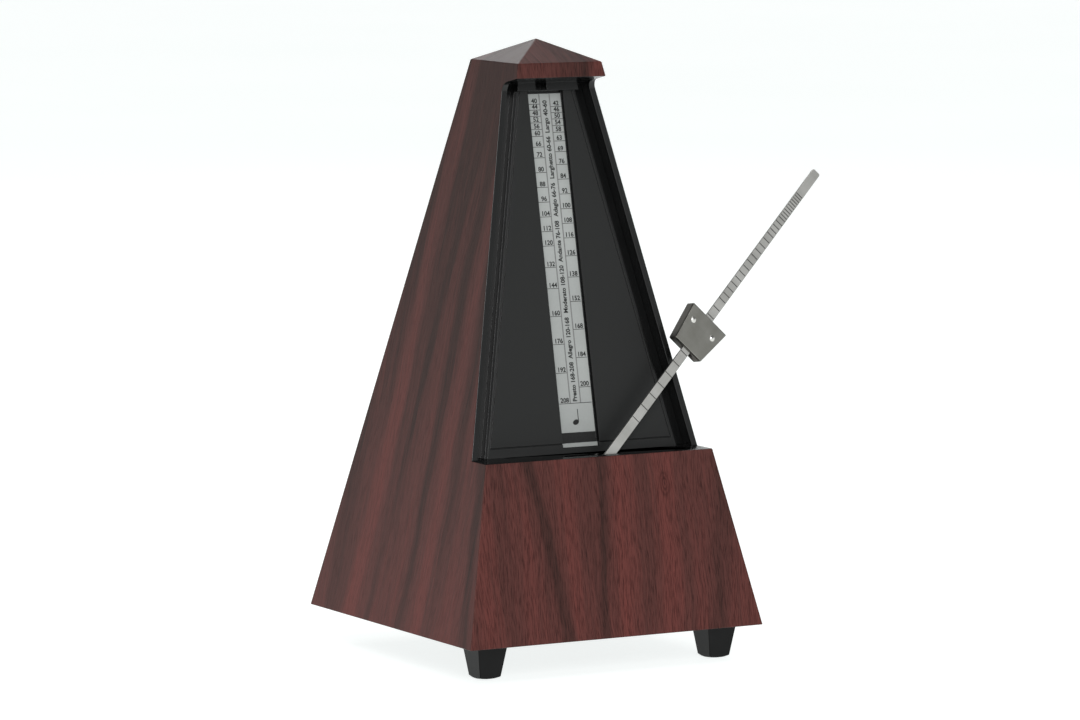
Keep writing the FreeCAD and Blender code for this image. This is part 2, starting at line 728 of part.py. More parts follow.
def make_crown_wheel():
    """Cup-shaped wheel whose saw teeth point along X at the verge."""
    y, z = CROWN_Y, CROWN_Z
    cup = bar_x(y, z, CROWN_TIP_X, 8.0, CROWN_R)
    cup = cup.cut(bar_x(y, z, CROWN_TIP_X - 1, 6.8, CROWN_R - 1.1))
    cup = cup.fuse(bar_x(y, z, 6.0, 9.0, 2.4))
    pitch = 2 * math.pi / CROWN_TEETH
    gap = math.tan(pitch) * CROWN_R * 0.82
    for i in range(CROWN_TEETH):
        points = [
            vec(CROWN_TIP_X - 1, y + 3, z), vec(CROWN_TIP_X + 2.3, y + 3, z),
            vec(CROWN_TIP_X, y + 3, z + gap), vec(CROWN_TIP_X - 1, y + 3, z + gap),
        ]
        notch = prism(points, vec(0, 6, 0))
        notch.rotate(vec(0, y, z), X_AXIS, math.degrees(i * pitch))
        cup = cup.cut(notch)
    return cup.cut(bar_x(y, z, 5, 10, ARBOR_R))


# ---- winding ----
def spring_post_centre():
    """The post stands just outside the end of the mainspring's last half circle."""
    last_r = SPRING_INNER_R + (SPRING_HALF_TURNS - 1) * SPRING_PITCH / 2
    reach = SPRING_PITCH / 4 + last_r + SPRING_THICKNESS + SPRING_POST_R
    return WINDING_Y + reach, WINDING_Z


def make_winding_arbor():
    y, z = WINDING_Y, WINDING_Z
    arbor = bar_x(y, z, -PLATE_X - 3.5, KEY_X[0] + 8.0, WINDING_R)
    barrel = bar_x(y, z, SPRING_X[0], SPRING_X[1], 4.6)
    collar = bar_x(y, z, PLATE_X + PLATE_THICKNESS + 0.3, PLATE_X + 5.0, 4.6)
    return joined([arbor, barrel, collar])


def make_spring_post():
    y, z = spring_post_centre()
    post = bar_x(y, z, -PLATE_X, SPRING_X[1], SPRING_POST_R)
    return post.fuse(bar_x(y, z, -PLATE_X - PLATE_THICKNESS, -PLATE_X, 1.3))


def half_circle(centre_y, r, start_side, bulge):
    """Half circle about a point level with the winding arbor."""
    x, z = SPRING_X[0], WINDING_Z
    start = vec(x, centre_y - r * start_side, z)
    middle = vec(x, centre_y, z + r * bulge)
    end = vec(x, centre_y + r * start_side, z)
    return Part.Arc(start, middle, end).toShape()


def make_mainspring():
    """Flat spiral of half circles, hooked round the post at its outer end."""
    t = SPRING_THICKNESS
    inner_edges, outer_edges = [], []
    for i in range(SPRING_HALF_TURNS):
        r = SPRING_INNER_R + i * SPRING_PITCH / 2
        side = 1 if i % 2 == 0 else -1
        centre_y = WINDING_Y + SPRING_PITCH / 4 * side
        inner_edges.append(half_circle(centre_y, r, side, side))
        outer_edges.append(half_circle(centre_y, r + t, side, side))
    post_y = spring_post_centre()[0]
    inner_edges.append(half_circle(post_y, SPRING_POST_R + t, 1, -1))
    outer_edges.append(half_circle(post_y, SPRING_POST_R, 1, -1))
    first_in = inner_edges[0].valueAt(inner_edges[0].FirstParameter)
    first_out = outer_edges[0].valueAt(outer_edges[0].FirstParameter)
    last_in = inner_edges[-1].valueAt(inner_edges[-1].LastParameter)
    last_out = outer_edges[-1].valueAt(outer_edges[-1].LastParameter)
    edges = inner_edges + outer_edges
    edges += [Part.makeLine(first_in, first_out), Part.makeLine(last_in, last_out)]
    wire = Part.Wire(Part.__sortEdges__(edges))
    return Part.Face(wire).extrude(vec(SPRING_X[1] - SPRING_X[0], 0, 0))


def make_winding_key():
    """Round shank with a flat oval thumb plate, on the arbor's outer end."""
    y, z = WINDING_Y, WINDING_Z
    shank = bar_x(y, z, KEY_X[0] - 0.5, KEY_X[0] + 9.5, 4.6)
    neck = bar_x(y, z, KEY_X[0] + 9.5, KEY_X[0] + 12.0, 2.8)
    wing = Part.makeCylinder(9.5, 2.2, vec(0, 0, -1.1), Z_AXIS)
    wing = wing.common(box((-6.5, 6.5), (-10, 10), (-2, 2)))
    wing = wing.makeFillet(0.5, [e for e in wing.Edges if abs(e.BoundBox.ZLength) < 0.01])
    wing.translate(vec(KEY_X[1] - 5.0, y, z))
    key = shank.fuse(neck).fuse(wing).removeSplitter()
    return key.cut(bar_x(y, z, KEY_X[0] - 1, KEY_X[0] + 8.0, WINDING_R))


# ---- pendulum, built upright in the swing frame and then tilted ----
def make_rod():
    """Flat steel rod, notched across its face at every tempo."""
    half = ROD_WIDTH / 2
    t = ROD_THICKNESS / 2
    rod = box((-half, half), (-t, t), (ROD_BOTTOM, ROD_TOP))
    corners = [e for e in rod.Edges if e.BoundBox.YLength > 0.5
               and e.BoundBox.ZMin > ROD_TOP - 1]
    rod = rod.makeFillet(0.6, corners)
    notches = []
    for beats in TEMPOS:
        s = tempo_distance(beats)
        notches.append(box((-half - 1, half + 1), (-t - 1, -t + 0.14), (s - 0.16, s + 0.16)))
    rod = rod.cut(notches)
    rod = rod.cut(bar_y(0, 0, -2, 2, VERGE_R))
    for s in (-3.4, 3.4):
        rod = rod.cut(bar_y(0, s, -2, 2, 0.6))
    return placed(rod, TILTED)


def make_hub():
    hub = bar_y(0, 0, ROD_THICKNESS / 2, 3.4, 4.8)
    hub = hub.cut(bar_y(0, 0, -1, 5, VERGE_R))
    for s in (-3.4, 3.4):
        hub = hub.cut(bar_y(0, s, -1, 5, 0.6))
    return placed(hub, TILTED)


def make_hub_rivets():
    rivets = []
    for s in (-3.4, 3.4):
        shank = bar_y(0, s, -0.4, 3.4, 0.6)
        rivets.append(shank.fuse(bar_y(0, s, -1.0, -0.4, 1.0)))
    return placed(Part.makeCompound(rivets), TILTED)


def make_verge():
    return placed(bar_y(0, 0, -0.9, 32.0, VERGE_R), TILTED)


def make_pallet(t, turn):
    """A flag on the verge that faces the crown wheel's teeth."""
    flag = box((VERGE_R - 0.3, 2.85), (t - 0.9, t + 0.9), (-0.35, 0.35))
    ring = bar_y(0, 0, t - 0.9, t + 0.9, 1.9)
    pallet = ring.fuse(flag).removeSplitter()
    pallet = pallet.cut(bar_y(0, 0, t - 2, t + 2, VERGE_R))
    pallet.rotate(vec(0, 0, 0), Y_AXIS, turn)
    return placed(pallet, TILTED)


def make_lower_bob():
    """Heavy drum at the rod's lower end, with a slot that the rod passes through."""
    bob = bar_y(0, BOB_S, BOB_T[0], BOB_T[1], BOB_R)
    round_edges = [e for e in bob.Edges if e.BoundBox.XLength > BOB_R]
    bob = bob.makeChamfer(0.8, round_edges)
    half = ROD_WIDTH / 2
    t = ROD_THICKNESS / 2
    slot = box((-half, half), (-t, t), (BOB_S - BOB_R - 1, BOB_S + BOB_R + 1))
    bob = bob.cut(slot)
    return placed(bob.cut(bar_y(0, BOB_S, 0, 6, 1.1)), TILTED)


def make_bob_screw():
    shape = set_screw(screw(2.4, 1.2, 1.1, BOB_T[1] - 0.4), vec(0, BOB_T[1], BOB_S), Y_AXIS)
    return placed(shape, TILTED)


def weight_outline(grow, y):
    low = WEIGHT_TOP - WEIGHT_HEIGHT
    return [
        vec(-WEIGHT_HALF_LOW - grow, y, low - grow),
        vec(WEIGHT_HALF_LOW + grow, y, low - grow),
        vec(WEIGHT_HALF_TOP + grow, y, WEIGHT_TOP + grow),
        vec(-WEIGHT_HALF_TOP - grow, y, WEIGHT_TOP + grow),
    ]


def make_weight():
    """Trapezium block that slides on the rod, with a pocket for its spring."""
    front, back = WEIGHT_T
    block = prism(weight_outline(0, front), vec(0, back - front, 0))
    block = block.makeChamfer(0.35, block.Edges)
    gap = RUNNING
    half = ROD_WIDTH / 2 + gap
    t = ROD_THICKNESS / 2
    way = box((-half, half), (-t - gap, t + gap), (50, 80))
    rear = WEIGHT_POCKET_BACK
    pocket = box((-3.2, 3.2), (t, rear), (WEIGHT_TOP - 12.5, WEIGHT_TOP - 2.0))
    arms = box((-6.2, 6.2), (t + 0.6, rear), (WEIGHT_TOP - 6.6, WEIGHT_TOP - 3.0))
    block = block.cut([way, pocket, arms])
    for side in BOTH:
        block = block.cut(bar_y(side * RIVET_X, RIVET_S, front - 1, rear, RIVET_R))
    return placed(block, TILTED)


def make_weight_spring():
    """Leaf inside the weight that presses on the rod to hold its place."""
    arms = box((-6.0, 6.0), LEAF_T, (WEIGHT_TOP - 6.4, WEIGHT_TOP - 3.2))
    tongue = box((-1.6, 1.6), LEAF_T, (WEIGHT_TOP - 11.5, WEIGHT_TOP - 6.0))
    nose = box((-1.6, 1.6), (ROD_THICKNESS / 2 + 0.06, LEAF_T[1]),
               (WEIGHT_TOP - 11.5, WEIGHT_TOP - 10.7))
    spring = joined([arms, tongue, nose])
    for side in BOTH:
        spring = spring.cut(bar_y(side * RIVET_X, RIVET_S, 0, 4, RIVET_R))
    return placed(spring, TILTED)


def make_weight_rivets():
    rivets = []
    front = WEIGHT_T[0]
    for side in BOTH:
        x, s = side * RIVET_X, RIVET_S
        shank = bar_y(x, s, front, LEAF_T[1] + 0.3, RIVET_R)
        head = Part.makeSphere(1.5, vec(x, front + 1.05, s))
        head = head.common(box((x - 2, x + 2), (front - 1, front), (s - 2, s + 2)))
        rivets.append(shank.fuse(head))
    return placed(Part.makeCompound(rivets), TILTED)


# ---- build ----
def build_case():
    outside, cavity = case_outside(), case_cavity()
    save("case_shell", make_case_shell(outside, cavity))
    save("recess_insert", make_recess_insert(cavity))
    save("scale_plate", make_scale_plate())
    save("base_plate", make_base_plate())
    save("base_screws", make_base_screws())
    for name, (x, y) in FOOT_PLACES.items():
        save(name, make_foot(x, y))


def build_movement_frame():
    for side, name in zip(BOTH, ("left", "right")):
        save("movement_plate_" + name, make_plate(side))
        save("foot_bracket_" + name, make_foot_bracket(side))
    for (y, z), name in zip(
        PILLARS, ("front_lower", "front_upper", "rear_lower", "rear_upper")
    ):
        save("pillar_" + name, make_pillar(y, z))
    save("pillar_screws", make_pillar_screws())
    save("bracket_screws", make_bracket_screws())
    save("verge_front_bridge", make_front_bridge())
    save("front_bridge_screws", make_bridge_screws())
    save("verge_rear_cock", make_rear_cock())
    save("rear_cock_screws", make_cock_screws())
    save("escape_bracket", make_escape_bracket())
    save("escape_bracket_screws", make_escape_bracket_screws())
    save("spring_post", make_spring_post())


def build_train():
    save("winding_arbor", make_winding_arbor())
    save("ratchet_wheel", make_ratchet_wheel())
    save("winding_key", make_winding_key())
    save("mainspring", make_mainspring())
    save("great_wheel", make_great_wheel())
    save("click", make_click())
    save("second_arbor", make_second_arbor())
    save("second_wheel", make_second_wheel())
    save("crown_arbor", make_crown_arbor())
    save("crown_wheel", make_crown_wheel())


def build_pendulum():
    save("pendulum_rod", make_rod())
    save("pendulum_hub", make_hub())
    save("hub_rivets", make_hub_rivets())
    save("verge_arbor", make_verge())
    save("pallet_front", make_pallet(CROWN_T - CROWN_R + 0.5, -45.0))
    save("pallet_rear", make_pallet(CROWN_T + CROWN_R - 0.5, 45.0))
    save("lower_bob", make_lower_bob())
    save("bob_screw", make_bob_screw())
    save("sliding_weight", make_weight())
    save("weight_spring", make_weight_spring())
    save("weight_rivets", make_weight_rivets())


os.makedirs("parts", exist_ok=True)
build_case()
build_movement_frame()
build_train()
build_pendulum()
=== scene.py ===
import math

import bmesh
import bpy
from mathutils import Matrix, Vector


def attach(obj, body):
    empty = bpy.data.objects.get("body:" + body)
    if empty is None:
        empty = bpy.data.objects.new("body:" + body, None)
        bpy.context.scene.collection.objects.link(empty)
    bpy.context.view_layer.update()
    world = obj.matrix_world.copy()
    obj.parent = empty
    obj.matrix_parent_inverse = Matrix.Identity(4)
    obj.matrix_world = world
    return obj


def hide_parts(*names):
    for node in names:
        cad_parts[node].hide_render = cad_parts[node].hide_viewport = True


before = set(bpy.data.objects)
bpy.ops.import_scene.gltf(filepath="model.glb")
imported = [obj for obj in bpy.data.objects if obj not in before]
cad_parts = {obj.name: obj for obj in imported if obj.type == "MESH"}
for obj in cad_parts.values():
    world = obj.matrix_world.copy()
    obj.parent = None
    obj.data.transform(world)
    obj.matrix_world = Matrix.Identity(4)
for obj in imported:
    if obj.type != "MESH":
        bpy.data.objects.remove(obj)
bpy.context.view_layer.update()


# ---- Moulded case ----
# A hollow pyramid with a low roof, moulded in black plastic. A printed mahogany film is laid on
# its outer faces only, so the rims of the open front and the inside stay black.
BASE_HALF = 0.058
EAVE_HALF = 0.01667
FOOT_HEIGHT = 0.012
EAVE_Z = 0.20596
APEX_Z = 0.2136
TAPER = (BASE_HALF - EAVE_HALF) / (EAVE_Z - FOOT_HEIGHT)
LEAN = math.atan(TAPER)
CASE_EDGE = 0.0003
SHARP_EDGE = math.radians(25)
BENT_EDGE = math.radians(28)
FLAT_ANGLE = math.radians(0.8)
WELD = 2e-6
BLACK_DEEP = (0.0030, 0.0032, 0.0033, 1)
BLACK_PALE = (0.0050, 0.0052, 0.0052, 1)
PANEL_BLACK = (0.0058, 0.0062, 0.0061, 1)
PANEL_TOLERANCE = 0.00012
OUTSIDE_TOLERANCE = 0.0001
FILM_DARK = (0.036, 0.0175, 0.0150, 1)
FILM_BROWN = (0.087, 0.0308, 0.0268, 1)
FILM_RED = (0.136, 0.0378, 0.0325, 1)
KNOT_ACROSS, KNOT_HEIGHT, KNOT_RADIUS = 0.0247, 0.0622, 0.0055
PORE_WIDTH, PORE_LENGTH = 0.00021, 0.0042
THREAD_WIDTH, THREAD_LENGTH = 0.0010, 0.03
STRIPE_WIDTH, STRIPE_LENGTH = 0.0060, 0.40
SWAY_WIDTH, SWAY_LENGTH, SWAY_REACH = 0.030, 0.055, 0.0085
# Printed streaks: place across the face at STREAK_LEVEL, lean, half width and tone.
STREAK_LEVEL = 0.04
FRONT_STREAKS = (
    (-0.0238, 0.175, 0.0032, -0.22), (-0.0245, 0.170, 0.0070, -0.12),
    (-0.0026, -0.070, 0.0026, -0.24), (-0.0070, -0.060, 0.0075, -0.15),
    (-0.0410, 0.020, 0.0045, -0.12), (-0.0150, 0.060, 0.0060, 0.10),
    (0.0060, -0.040, 0.0060, 0.12), (0.0140, -0.040, 0.0040, -0.15),
    (0.0235, -0.020, 0.0050, 0.10), (0.0305, -0.050, 0.0036, -0.18),
    (0.0440, -0.120, 0.0050, -0.22),
)
SIDE_STREAKS = (
    (0.0270, 0.080, 0.0070, 0.36), (0.0140, 0.110, 0.0030, -0.20),
    (0.0420, -0.030, 0.0080, -0.18), (0.0030, 0.060, 0.0060, 0.10),
    (-0.0065, 0.030, 0.0036, -0.20), (-0.0180, -0.020, 0.0065, 0.22),
    (-0.0270, -0.030, 0.0026, -0.18), (-0.0360, -0.060, 0.0050, 0.14),
    (-0.0475, -0.160, 0.0042, -0.32),
)


def new_finish(name, roughness=0.5, specular=0.5, metallic=0.0):
    """A node material with its surface shader set to plain values."""
    finish = bpy.data.materials.new(name)
    finish.use_nodes = True
    shader = finish.node_tree.nodes["Principled BSDF"]
    shader.inputs["Roughness"].default_value = roughness
    shader.inputs["Specular IOR Level"].default_value = specular
    shader.inputs["Metallic"].default_value = metallic
    return finish


def node(finish, kind, inputs=None, **settings):
    """Add a node. An input is a plain value or another node's output."""
    made = finish.node_tree.nodes.new(kind)
    for key, value in settings.items():
        setattr(made, key, value)
    for key, value in (inputs or {}).items():
        if isinstance(value, bpy.types.NodeSocket):
            finish.node_tree.links.new(value, made.inputs[key])
        else:
            made.inputs[key].default_value = value
    return made


def calc(finish, operation, *values):
    """One step of arithmetic on plain values or node outputs."""
    return node(finish, "ShaderNodeMath", dict(enumerate(values)), operation=operation).outputs[0]


def place(finish):
    """The point's place on the object, as three numbers."""
    where = node(finish, "ShaderNodeTexCoord").outputs["Object"]
    return node(finish, "ShaderNodeSeparateXYZ", {0: where}).outputs


def cloudy(finish, steps, detail=3.0, roughness=0.5):
    """Noise over three stretched coordinates, 0 to 1."""
    vector = node(finish, "ShaderNodeCombineXYZ", dict(enumerate(steps))).outputs[0]
    settings = {"Vector": vector, "Scale": 1.0, "Detail": detail, "Roughness": roughness}
    return node(finish, "ShaderNodeTexNoise", settings).outputs[0]


def mottled(finish, size, detail):
    """Noise of one size in every direction, 0 to 1."""
    return cloudy(finish, [calc(finish, "DIVIDE", v, size) for v in place(finish)], detail)


def ramp(finish, factor, stops):
    """Colours along a value, with the stops given as (position, colour)."""
    made = node(finish, "ShaderNodeValToRGB", {0: factor})
    elements = made.color_ramp.elements
    while len(elements) < len(stops):
        elements.new(0.5)
    for element, (position, colour) in zip(elements, stops):
        element.position = position
        element.color = colour
    return made.outputs[0]


def blend_colours(finish, factor, a, b, mode="MIX"):
    made = node(finish, "ShaderNodeMix", data_type="RGBA", blend_type=mode)
    for index, value in ((0, factor), (6, a), (7, b)):
        if isinstance(value, bpy.types.NodeSocket):
            finish.node_tree.links.new(value, made.inputs[index])
        else:
            made.inputs[index].default_value = value
    return made.outputs[2]


def surface(finish, **sockets):
    """Lead values into the surface shader, by socket name with _ for a space."""
    shader = finish.node_tree.nodes["Principled BSDF"]
    for key, value in sockets.items():
        finish.node_tree.links.new(value, shader.inputs[key.replace("_", " ")])


def bump(finish, height, distance, strength=1.0):
    inputs = {"Height": height, "Distance": distance, "Strength": strength}
    return node(finish, "ShaderNodeBump", inputs).outputs[0]


def streaks(finish, across, rise, rows):
    """Sum of leaning streaks with soft edges: dark ones below zero, red ones above."""
    total = 0.0
    for centre, lean, half, tone in rows:
        middle = calc(finish, "MULTIPLY_ADD", rise, -lean, centre)
        gap = calc(finish, "ABSOLUTE", calc(finish, "SUBTRACT", across, middle))
        spread = node(finish, "ShaderNodeMapRange", {
            "Value": gap, "From Min": half, "From Max": half * 0.25, "To Min": 0.0, "To Max": tone,
        }, interpolation_type="SMOOTHSTEP")
        total = calc(finish, "ADD", spread.outputs[0], total)
    return total


def make_mahogany_film():
    """Printed wood running up every face: leaning streaks, bands, threads, pores and a knot, and
    painted shade towards the top.
    """
    finish = new_finish("mahogany_film", specular=0.10)
    x, y, z = place(finish)
    ax, ay = calc(finish, "ABSOLUTE", x), calc(finish, "ABSOLUTE", y)
    on_side = calc(finish, "GREATER_THAN", ax, ay)
    across = node(finish, "ShaderNodeMix", {0: on_side, 2: x, 3: y}).outputs[0]
    turn_x = calc(finish, "MULTIPLY_ADD", calc(finish, "SIGN", x), 1.7, 3.1)
    turn_y = calc(finish, "MULTIPLY_ADD", calc(finish, "SIGN", y), 2.3, 8.0)
    sheet = node(finish, "ShaderNodeMix", {0: on_side, 2: turn_y, 3: turn_x}).outputs[0]

    def stretched(width, length, detail, roughness=0.5, line=across):
        steps = (calc(finish, "DIVIDE", line, width), sheet, calc(finish, "DIVIDE", z, length))
        return cloudy(finish, steps, detail, roughness)

    # The streaks sway a little, and fine threads and short pores lie between them.
    sway = calc(finish, "SUBTRACT", stretched(SWAY_WIDTH, SWAY_LENGTH, 2.0), 0.5)
    line = calc(finish, "MULTIPLY_ADD", sway, SWAY_REACH, across)
    level = calc(finish, "SUBTRACT", z, STREAK_LEVEL)
    front_tone = streaks(finish, line, level, FRONT_STREAKS)
    side_tone = streaks(finish, line, level, SIDE_STREAKS)
    figure = node(finish, "ShaderNodeMix", {0: on_side, 2: front_tone, 3: side_tone}).outputs[0]
    bands = calc(finish, "SUBTRACT", stretched(STRIPE_WIDTH, STRIPE_LENGTH, 3.0, 0.55, line), 0.5)
    threads = calc(finish, "SUBTRACT", stretched(THREAD_WIDTH, THREAD_LENGTH, 2.0, 0.5, line), 0.5)
    pores = stretched(PORE_WIDTH, PORE_LENGTH, 2.0, 0.5, line)
    tone = calc(finish, "MULTIPLY_ADD", bands, 0.50, figure)
    tone = calc(finish, "MULTIPLY_ADD", threads, 0.50, tone)
    # Painted shade: the film is made darker towards the top, more steeply on the side faces than on
    # the front and back.
    top_shade = node(finish, "ShaderNodeMix", {0: on_side, 2: -0.9, 3: -3.3}).outputs[0]
    tone = calc(finish, "MULTIPLY_ADD", z, top_shade, tone)
    tone = calc(finish, "ADD", tone, 0.63)
    colour = ramp(finish, tone, [(0.08, FILM_DARK), (0.50, FILM_BROWN), (0.92, FILM_RED)])

    # Short dark pores, closer set and stronger on the front and back.
    marks = ramp(finish, pores, [(0.34, (0.45, 0.43, 0.43, 1)), (0.52, (1, 1, 1, 1))])
    depth = node(finish, "ShaderNodeMix", {0: on_side, 2: 1.0, 3: 0.62}).outputs[0]
    colour = blend_colours(finish, depth, colour, marks, "MULTIPLY")

    # One small knot near the ledge, on the front.
    gap_x = calc(finish, "MULTIPLY", calc(finish, "SUBTRACT", line, KNOT_ACROSS), 1.9)
    gap_z = calc(finish, "SUBTRACT", z, KNOT_HEIGHT)
    squares = calc(finish, "MULTIPLY_ADD", gap_x, gap_x, calc(finish, "MULTIPLY", gap_z, gap_z))
    reach = calc(finish, "DIVIDE", calc(finish, "SQRT", squares), KNOT_RADIUS)
    rings = ramp(finish, reach, [
        (0.0, (0.40, 0.38, 0.38, 1)), (0.20, (1, 1, 1, 1)), (0.34, (0.48, 0.46, 0.46, 1)),
        (0.52, (1, 1, 1, 1)), (0.68, (0.66, 0.64, 0.64, 1)), (0.90, (1, 1, 1, 1)),
    ])
    in_front = calc(finish, "LESS_THAN", y, -0.02)
    colour = blend_colours(finish, in_front, colour,
                           blend_colours(finish, 1.0, colour, rings, "MULTIPLY"))

    surface(finish, Base_Color=colour)
    surface(finish, Roughness=calc(finish, "MULTIPLY_ADD", threads, 0.10, 0.38))
    surface(finish, Normal=bump(finish, calc(finish, "ADD", pores, threads), 0.00004, 0.5))
    return finish


def make_black_moulding(name, panel_depth=None):
    """Glossy black plastic. At the panel's depth behind the front face it is grained and matt."""
    finish = new_finish(name, specular=0.42)
    wide = mottled(finish, 0.02, 2.0)
    colour = ramp(finish, wide, [(0.3, BLACK_DEEP), (0.7, BLACK_PALE)])
    grain = mottled(finish, 0.0004, 2.0)
    panel = 0.0
    if panel_depth:
        x, y, z = place(finish)
        inward = calc(finish, "MULTIPLY", calc(finish, "ADD", y, BASE_HALF), math.cos(LEAN))
        drop = calc(finish, "MULTIPLY", calc(finish, "SUBTRACT", z, FOOT_HEIGHT), math.sin(LEAN))
        gap = calc(finish, "SUBTRACT", calc(finish, "SUBTRACT", inward, drop), panel_depth)
        panel = calc(finish, "LESS_THAN", calc(finish, "ABSOLUTE", gap), PANEL_TOLERANCE)
        colour = blend_colours(finish, panel, colour, PANEL_BLACK)
    surface(finish, Base_Color=colour)
    rough = calc(finish, "MULTIPLY_ADD", panel, 0.30, 0.16)
    surface(finish, Roughness=calc(finish, "MULTIPLY_ADD", wide, 0.08, rough))
    height = calc(finish, "MULTIPLY", grain, calc(finish, "MULTIPLY_ADD", panel, 0.9, 0.1))
    surface(finish, Normal=bump(finish, height, 0.00003, 0.6))
    return finish


def flat_copy(part):
    """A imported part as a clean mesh, with the triangles of its flat faces merged."""
    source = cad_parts[part].data
    form = bmesh.new()
    form.from_mesh(source)
    bmesh.ops.remove_doubles(form, verts=form.verts, dist=WELD)
    bmesh.ops.dissolve_limit(
        form, angle_limit=FLAT_ANGLE, verts=form.verts, edges=form.edges
    )
    corners = [v.co.copy() for v in form.verts]
    form.verts.index_update()
    faces = [[v.index for v in face.verts] for face in form.faces]
    form.free()
    mesh = bpy.data.meshes.new(part + "_shape")
    mesh.from_pydata(corners, [], faces)
    return mesh


def add_piece(name, mesh, finish):
    piece = bpy.data.objects.new(name, mesh)
    bpy.context.scene.collection.objects.link(piece)
    mesh.materials.clear()
    mesh.materials.append(finish)
    return piece


def eased(part, radius, finish, body, segments=2):
    """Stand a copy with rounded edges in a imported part's place."""
    mesh = flat_copy(part)
    mesh.shade_smooth()
    mesh.set_sharp_from_angle(angle=SHARP_EDGE)
    piece = add_piece(part + "_eased", mesh, finish)
    rounding = piece.modifiers.new("rounding", "BEVEL")
    rounding.width = radius
    rounding.segments = segments
    rounding.limit_method = "ANGLE"
    rounding.angle_limit = BENT_EDGE
    rounding.use_clamp_overlap = False
    rounding.harden_normals = True
    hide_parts(part)
    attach(piece, body)
    return piece


def on_outside(corner):
    """Whether a point lies on the pyramid's or the roof's outer faces."""
    reach = max(abs(corner.x), abs(corner.y))
    wall = reach + TAPER * (corner.z - FOOT_HEIGHT) - BASE_HALF
    roof = corner.z + (APEX_Z - EAVE_Z) / EAVE_HALF * reach - APEX_Z
    return max(wall, roof) > -OUTSIDE_TOLERANCE


mahogany_film = make_mahogany_film()
case_shell = eased("case_shell", CASE_EDGE, mahogany_film, "case")
case_shell.data.materials.append(make_black_moulding("bare_moulding"))
for face in case_shell.data.polygons:
    if not all(on_outside(case_shell.data.vertices[i].co) for i in face.vertices):
        face.material_index = 1


# ---- Recess insert ----
# One black moulding that closes the open front: glossy ledge, groove, header and bevels, with a
# finely grained panel behind the pendulum. It is pushed in from below against the case walls.
PANEL_DEPTH = 0.012
INSERT_EDGE = 0.00012

insert_black = make_black_moulding("insert_moulding", PANEL_DEPTH)
eased("recess_insert", INSERT_EDGE, insert_black, "case")


# ---- Tempo scale ----
# A thin pale plate in the panel's channel, printed in black: a line for every tempo in two columns,
# its number above the line, the tempo words up the middle, and a dark band at the foot.
SCALE_FACE = 0.0132
SCALE_ORIGIN_UP = 0.05577
PRINT_THICKNESS = 0.00002
PRINT_MIDDLE = SCALE_FACE - PRINT_THICKNESS / 2
COLUMN_EDGE = 0.00205
SCALE_HALF = 0.0065
TABLE_HEAD = 0.1895
RULE_WIDTH = 0.00018
FOOT_RULE_WIDTH = 0.00020
COLUMN_RULE_WIDTH = 0.00045
FOOT_BAND_PLACE, FOOT_BAND_ACROSS, FOOT_BAND_UP = 0.07010, 0.01334, 0.0036
NUMBER_HEIGHT, NUMBER_WEIGHT = 0.00158, 0.00006
NUMBER_SHIFT = (0.0001, 0.00040)
WORD_HEIGHT, WORD_WEIGHT = 0.00160, 0.00007
WORD_ACROSS = 0.00068
CAPITAL_SHARE = 0.70
# The law's constants are in millimetres and beats a minute.
LAW_STIFFNESS, LAW_BALANCE, LAW_INERTIA = 3.8186e6, 141.35, 9477.7
LEFT_TEMPOS = (
    40, 44, 48, 52, 56, 60, 66, 72, 80, 88, 96, 104, 112, 120, 132, 144, 160, 176, 192, 208,
)
RIGHT_TEMPOS = (
    42, 46, 50, 54, 58, 63, 69, 76, 84, 92, 100, 108, 116, 126, 138, 152, 168, 184, 200,
)
# Each word's foot and head, in metres up the front face.
TEMPO_WORDS = (
    ("Presto 168-208", 0.0825, 0.0961), ("Allegro 120-168", 0.0974, 0.1118),
    ("Moderato 108-120", 0.1132, 0.1297), ("Andante 76-108", 0.1310, 0.1454),
    ("Adagio 66-76", 0.1468, 0.1586), ("Larghetto 60-66", 0.1599, 0.1746),
    ("Largo 40-60", 0.1759, 0.1872),
)
# From the print's own flat frame (across, up the face, towards the viewer) to the object's.
PRINT_FRAME = Matrix((
    (1, 0, 0, 0),
    (0, math.sin(LEAN), -math.cos(LEAN), -BASE_HALF + PRINT_MIDDLE * math.cos(LEAN)),
    (0, math.cos(LEAN), math.sin(LEAN), FOOT_HEIGHT - PRINT_MIDDLE * math.sin(LEAN)),
    (0, 0, 0, 1),
))


def tempo_distance(beats):
    """How far from the pivot the weight's top edge stands at a tempo, by the pendulum's law."""
    squared = beats * beats
    excess = squared * LAW_INERTIA - LAW_STIFFNESS * LAW_BALANCE
    root = LAW_STIFFNESS ** 2 - 4 * squared * excess
    return (math.sqrt(root) - LAW_STIFFNESS) / (2 * squared) / 1000


def tempo_place(beats):
    """How far up the face a tempo's line stands."""
    return SCALE_ORIGIN_UP + tempo_distance(beats)


def make_plate_paint():
    """Pale grey paint, a little uneven."""
    finish = new_finish("plate_paint", 0.5, 0.3)
    fine = mottled(finish, 0.0009, 3.0)
    wide = mottled(finish, 0.03, 2.0)
    tone = calc(finish, "MULTIPLY_ADD", fine, 0.25, wide)
    stops = [(0.35, (0.295, 0.307, 0.299, 1)), (0.85, (0.360, 0.372, 0.364, 1))]
    surface(finish, Base_Color=ramp(finish, tone, stops))
    surface(finish, Normal=bump(finish, fine, 0.00001, 0.3))
    return finish


def make_ink(name, dark, light):
    """Printing ink, slightly uneven in density."""
    finish = new_finish(name, 0.55, 0.3)
    speckle = mottled(finish, 0.00025, 2.0)
    stops = [(0.35, (dark, dark, dark, 1)), (0.65, (light, light, light, 1))]
    surface(finish, Base_Color=ramp(finish, speckle, stops))
    return finish


def finish_parts(finish, *parts):
    """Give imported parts, whose shape is right as it is, their surface."""
    for part in parts:
        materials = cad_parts[part].data.materials
        materials.clear()
        materials.append(finish)


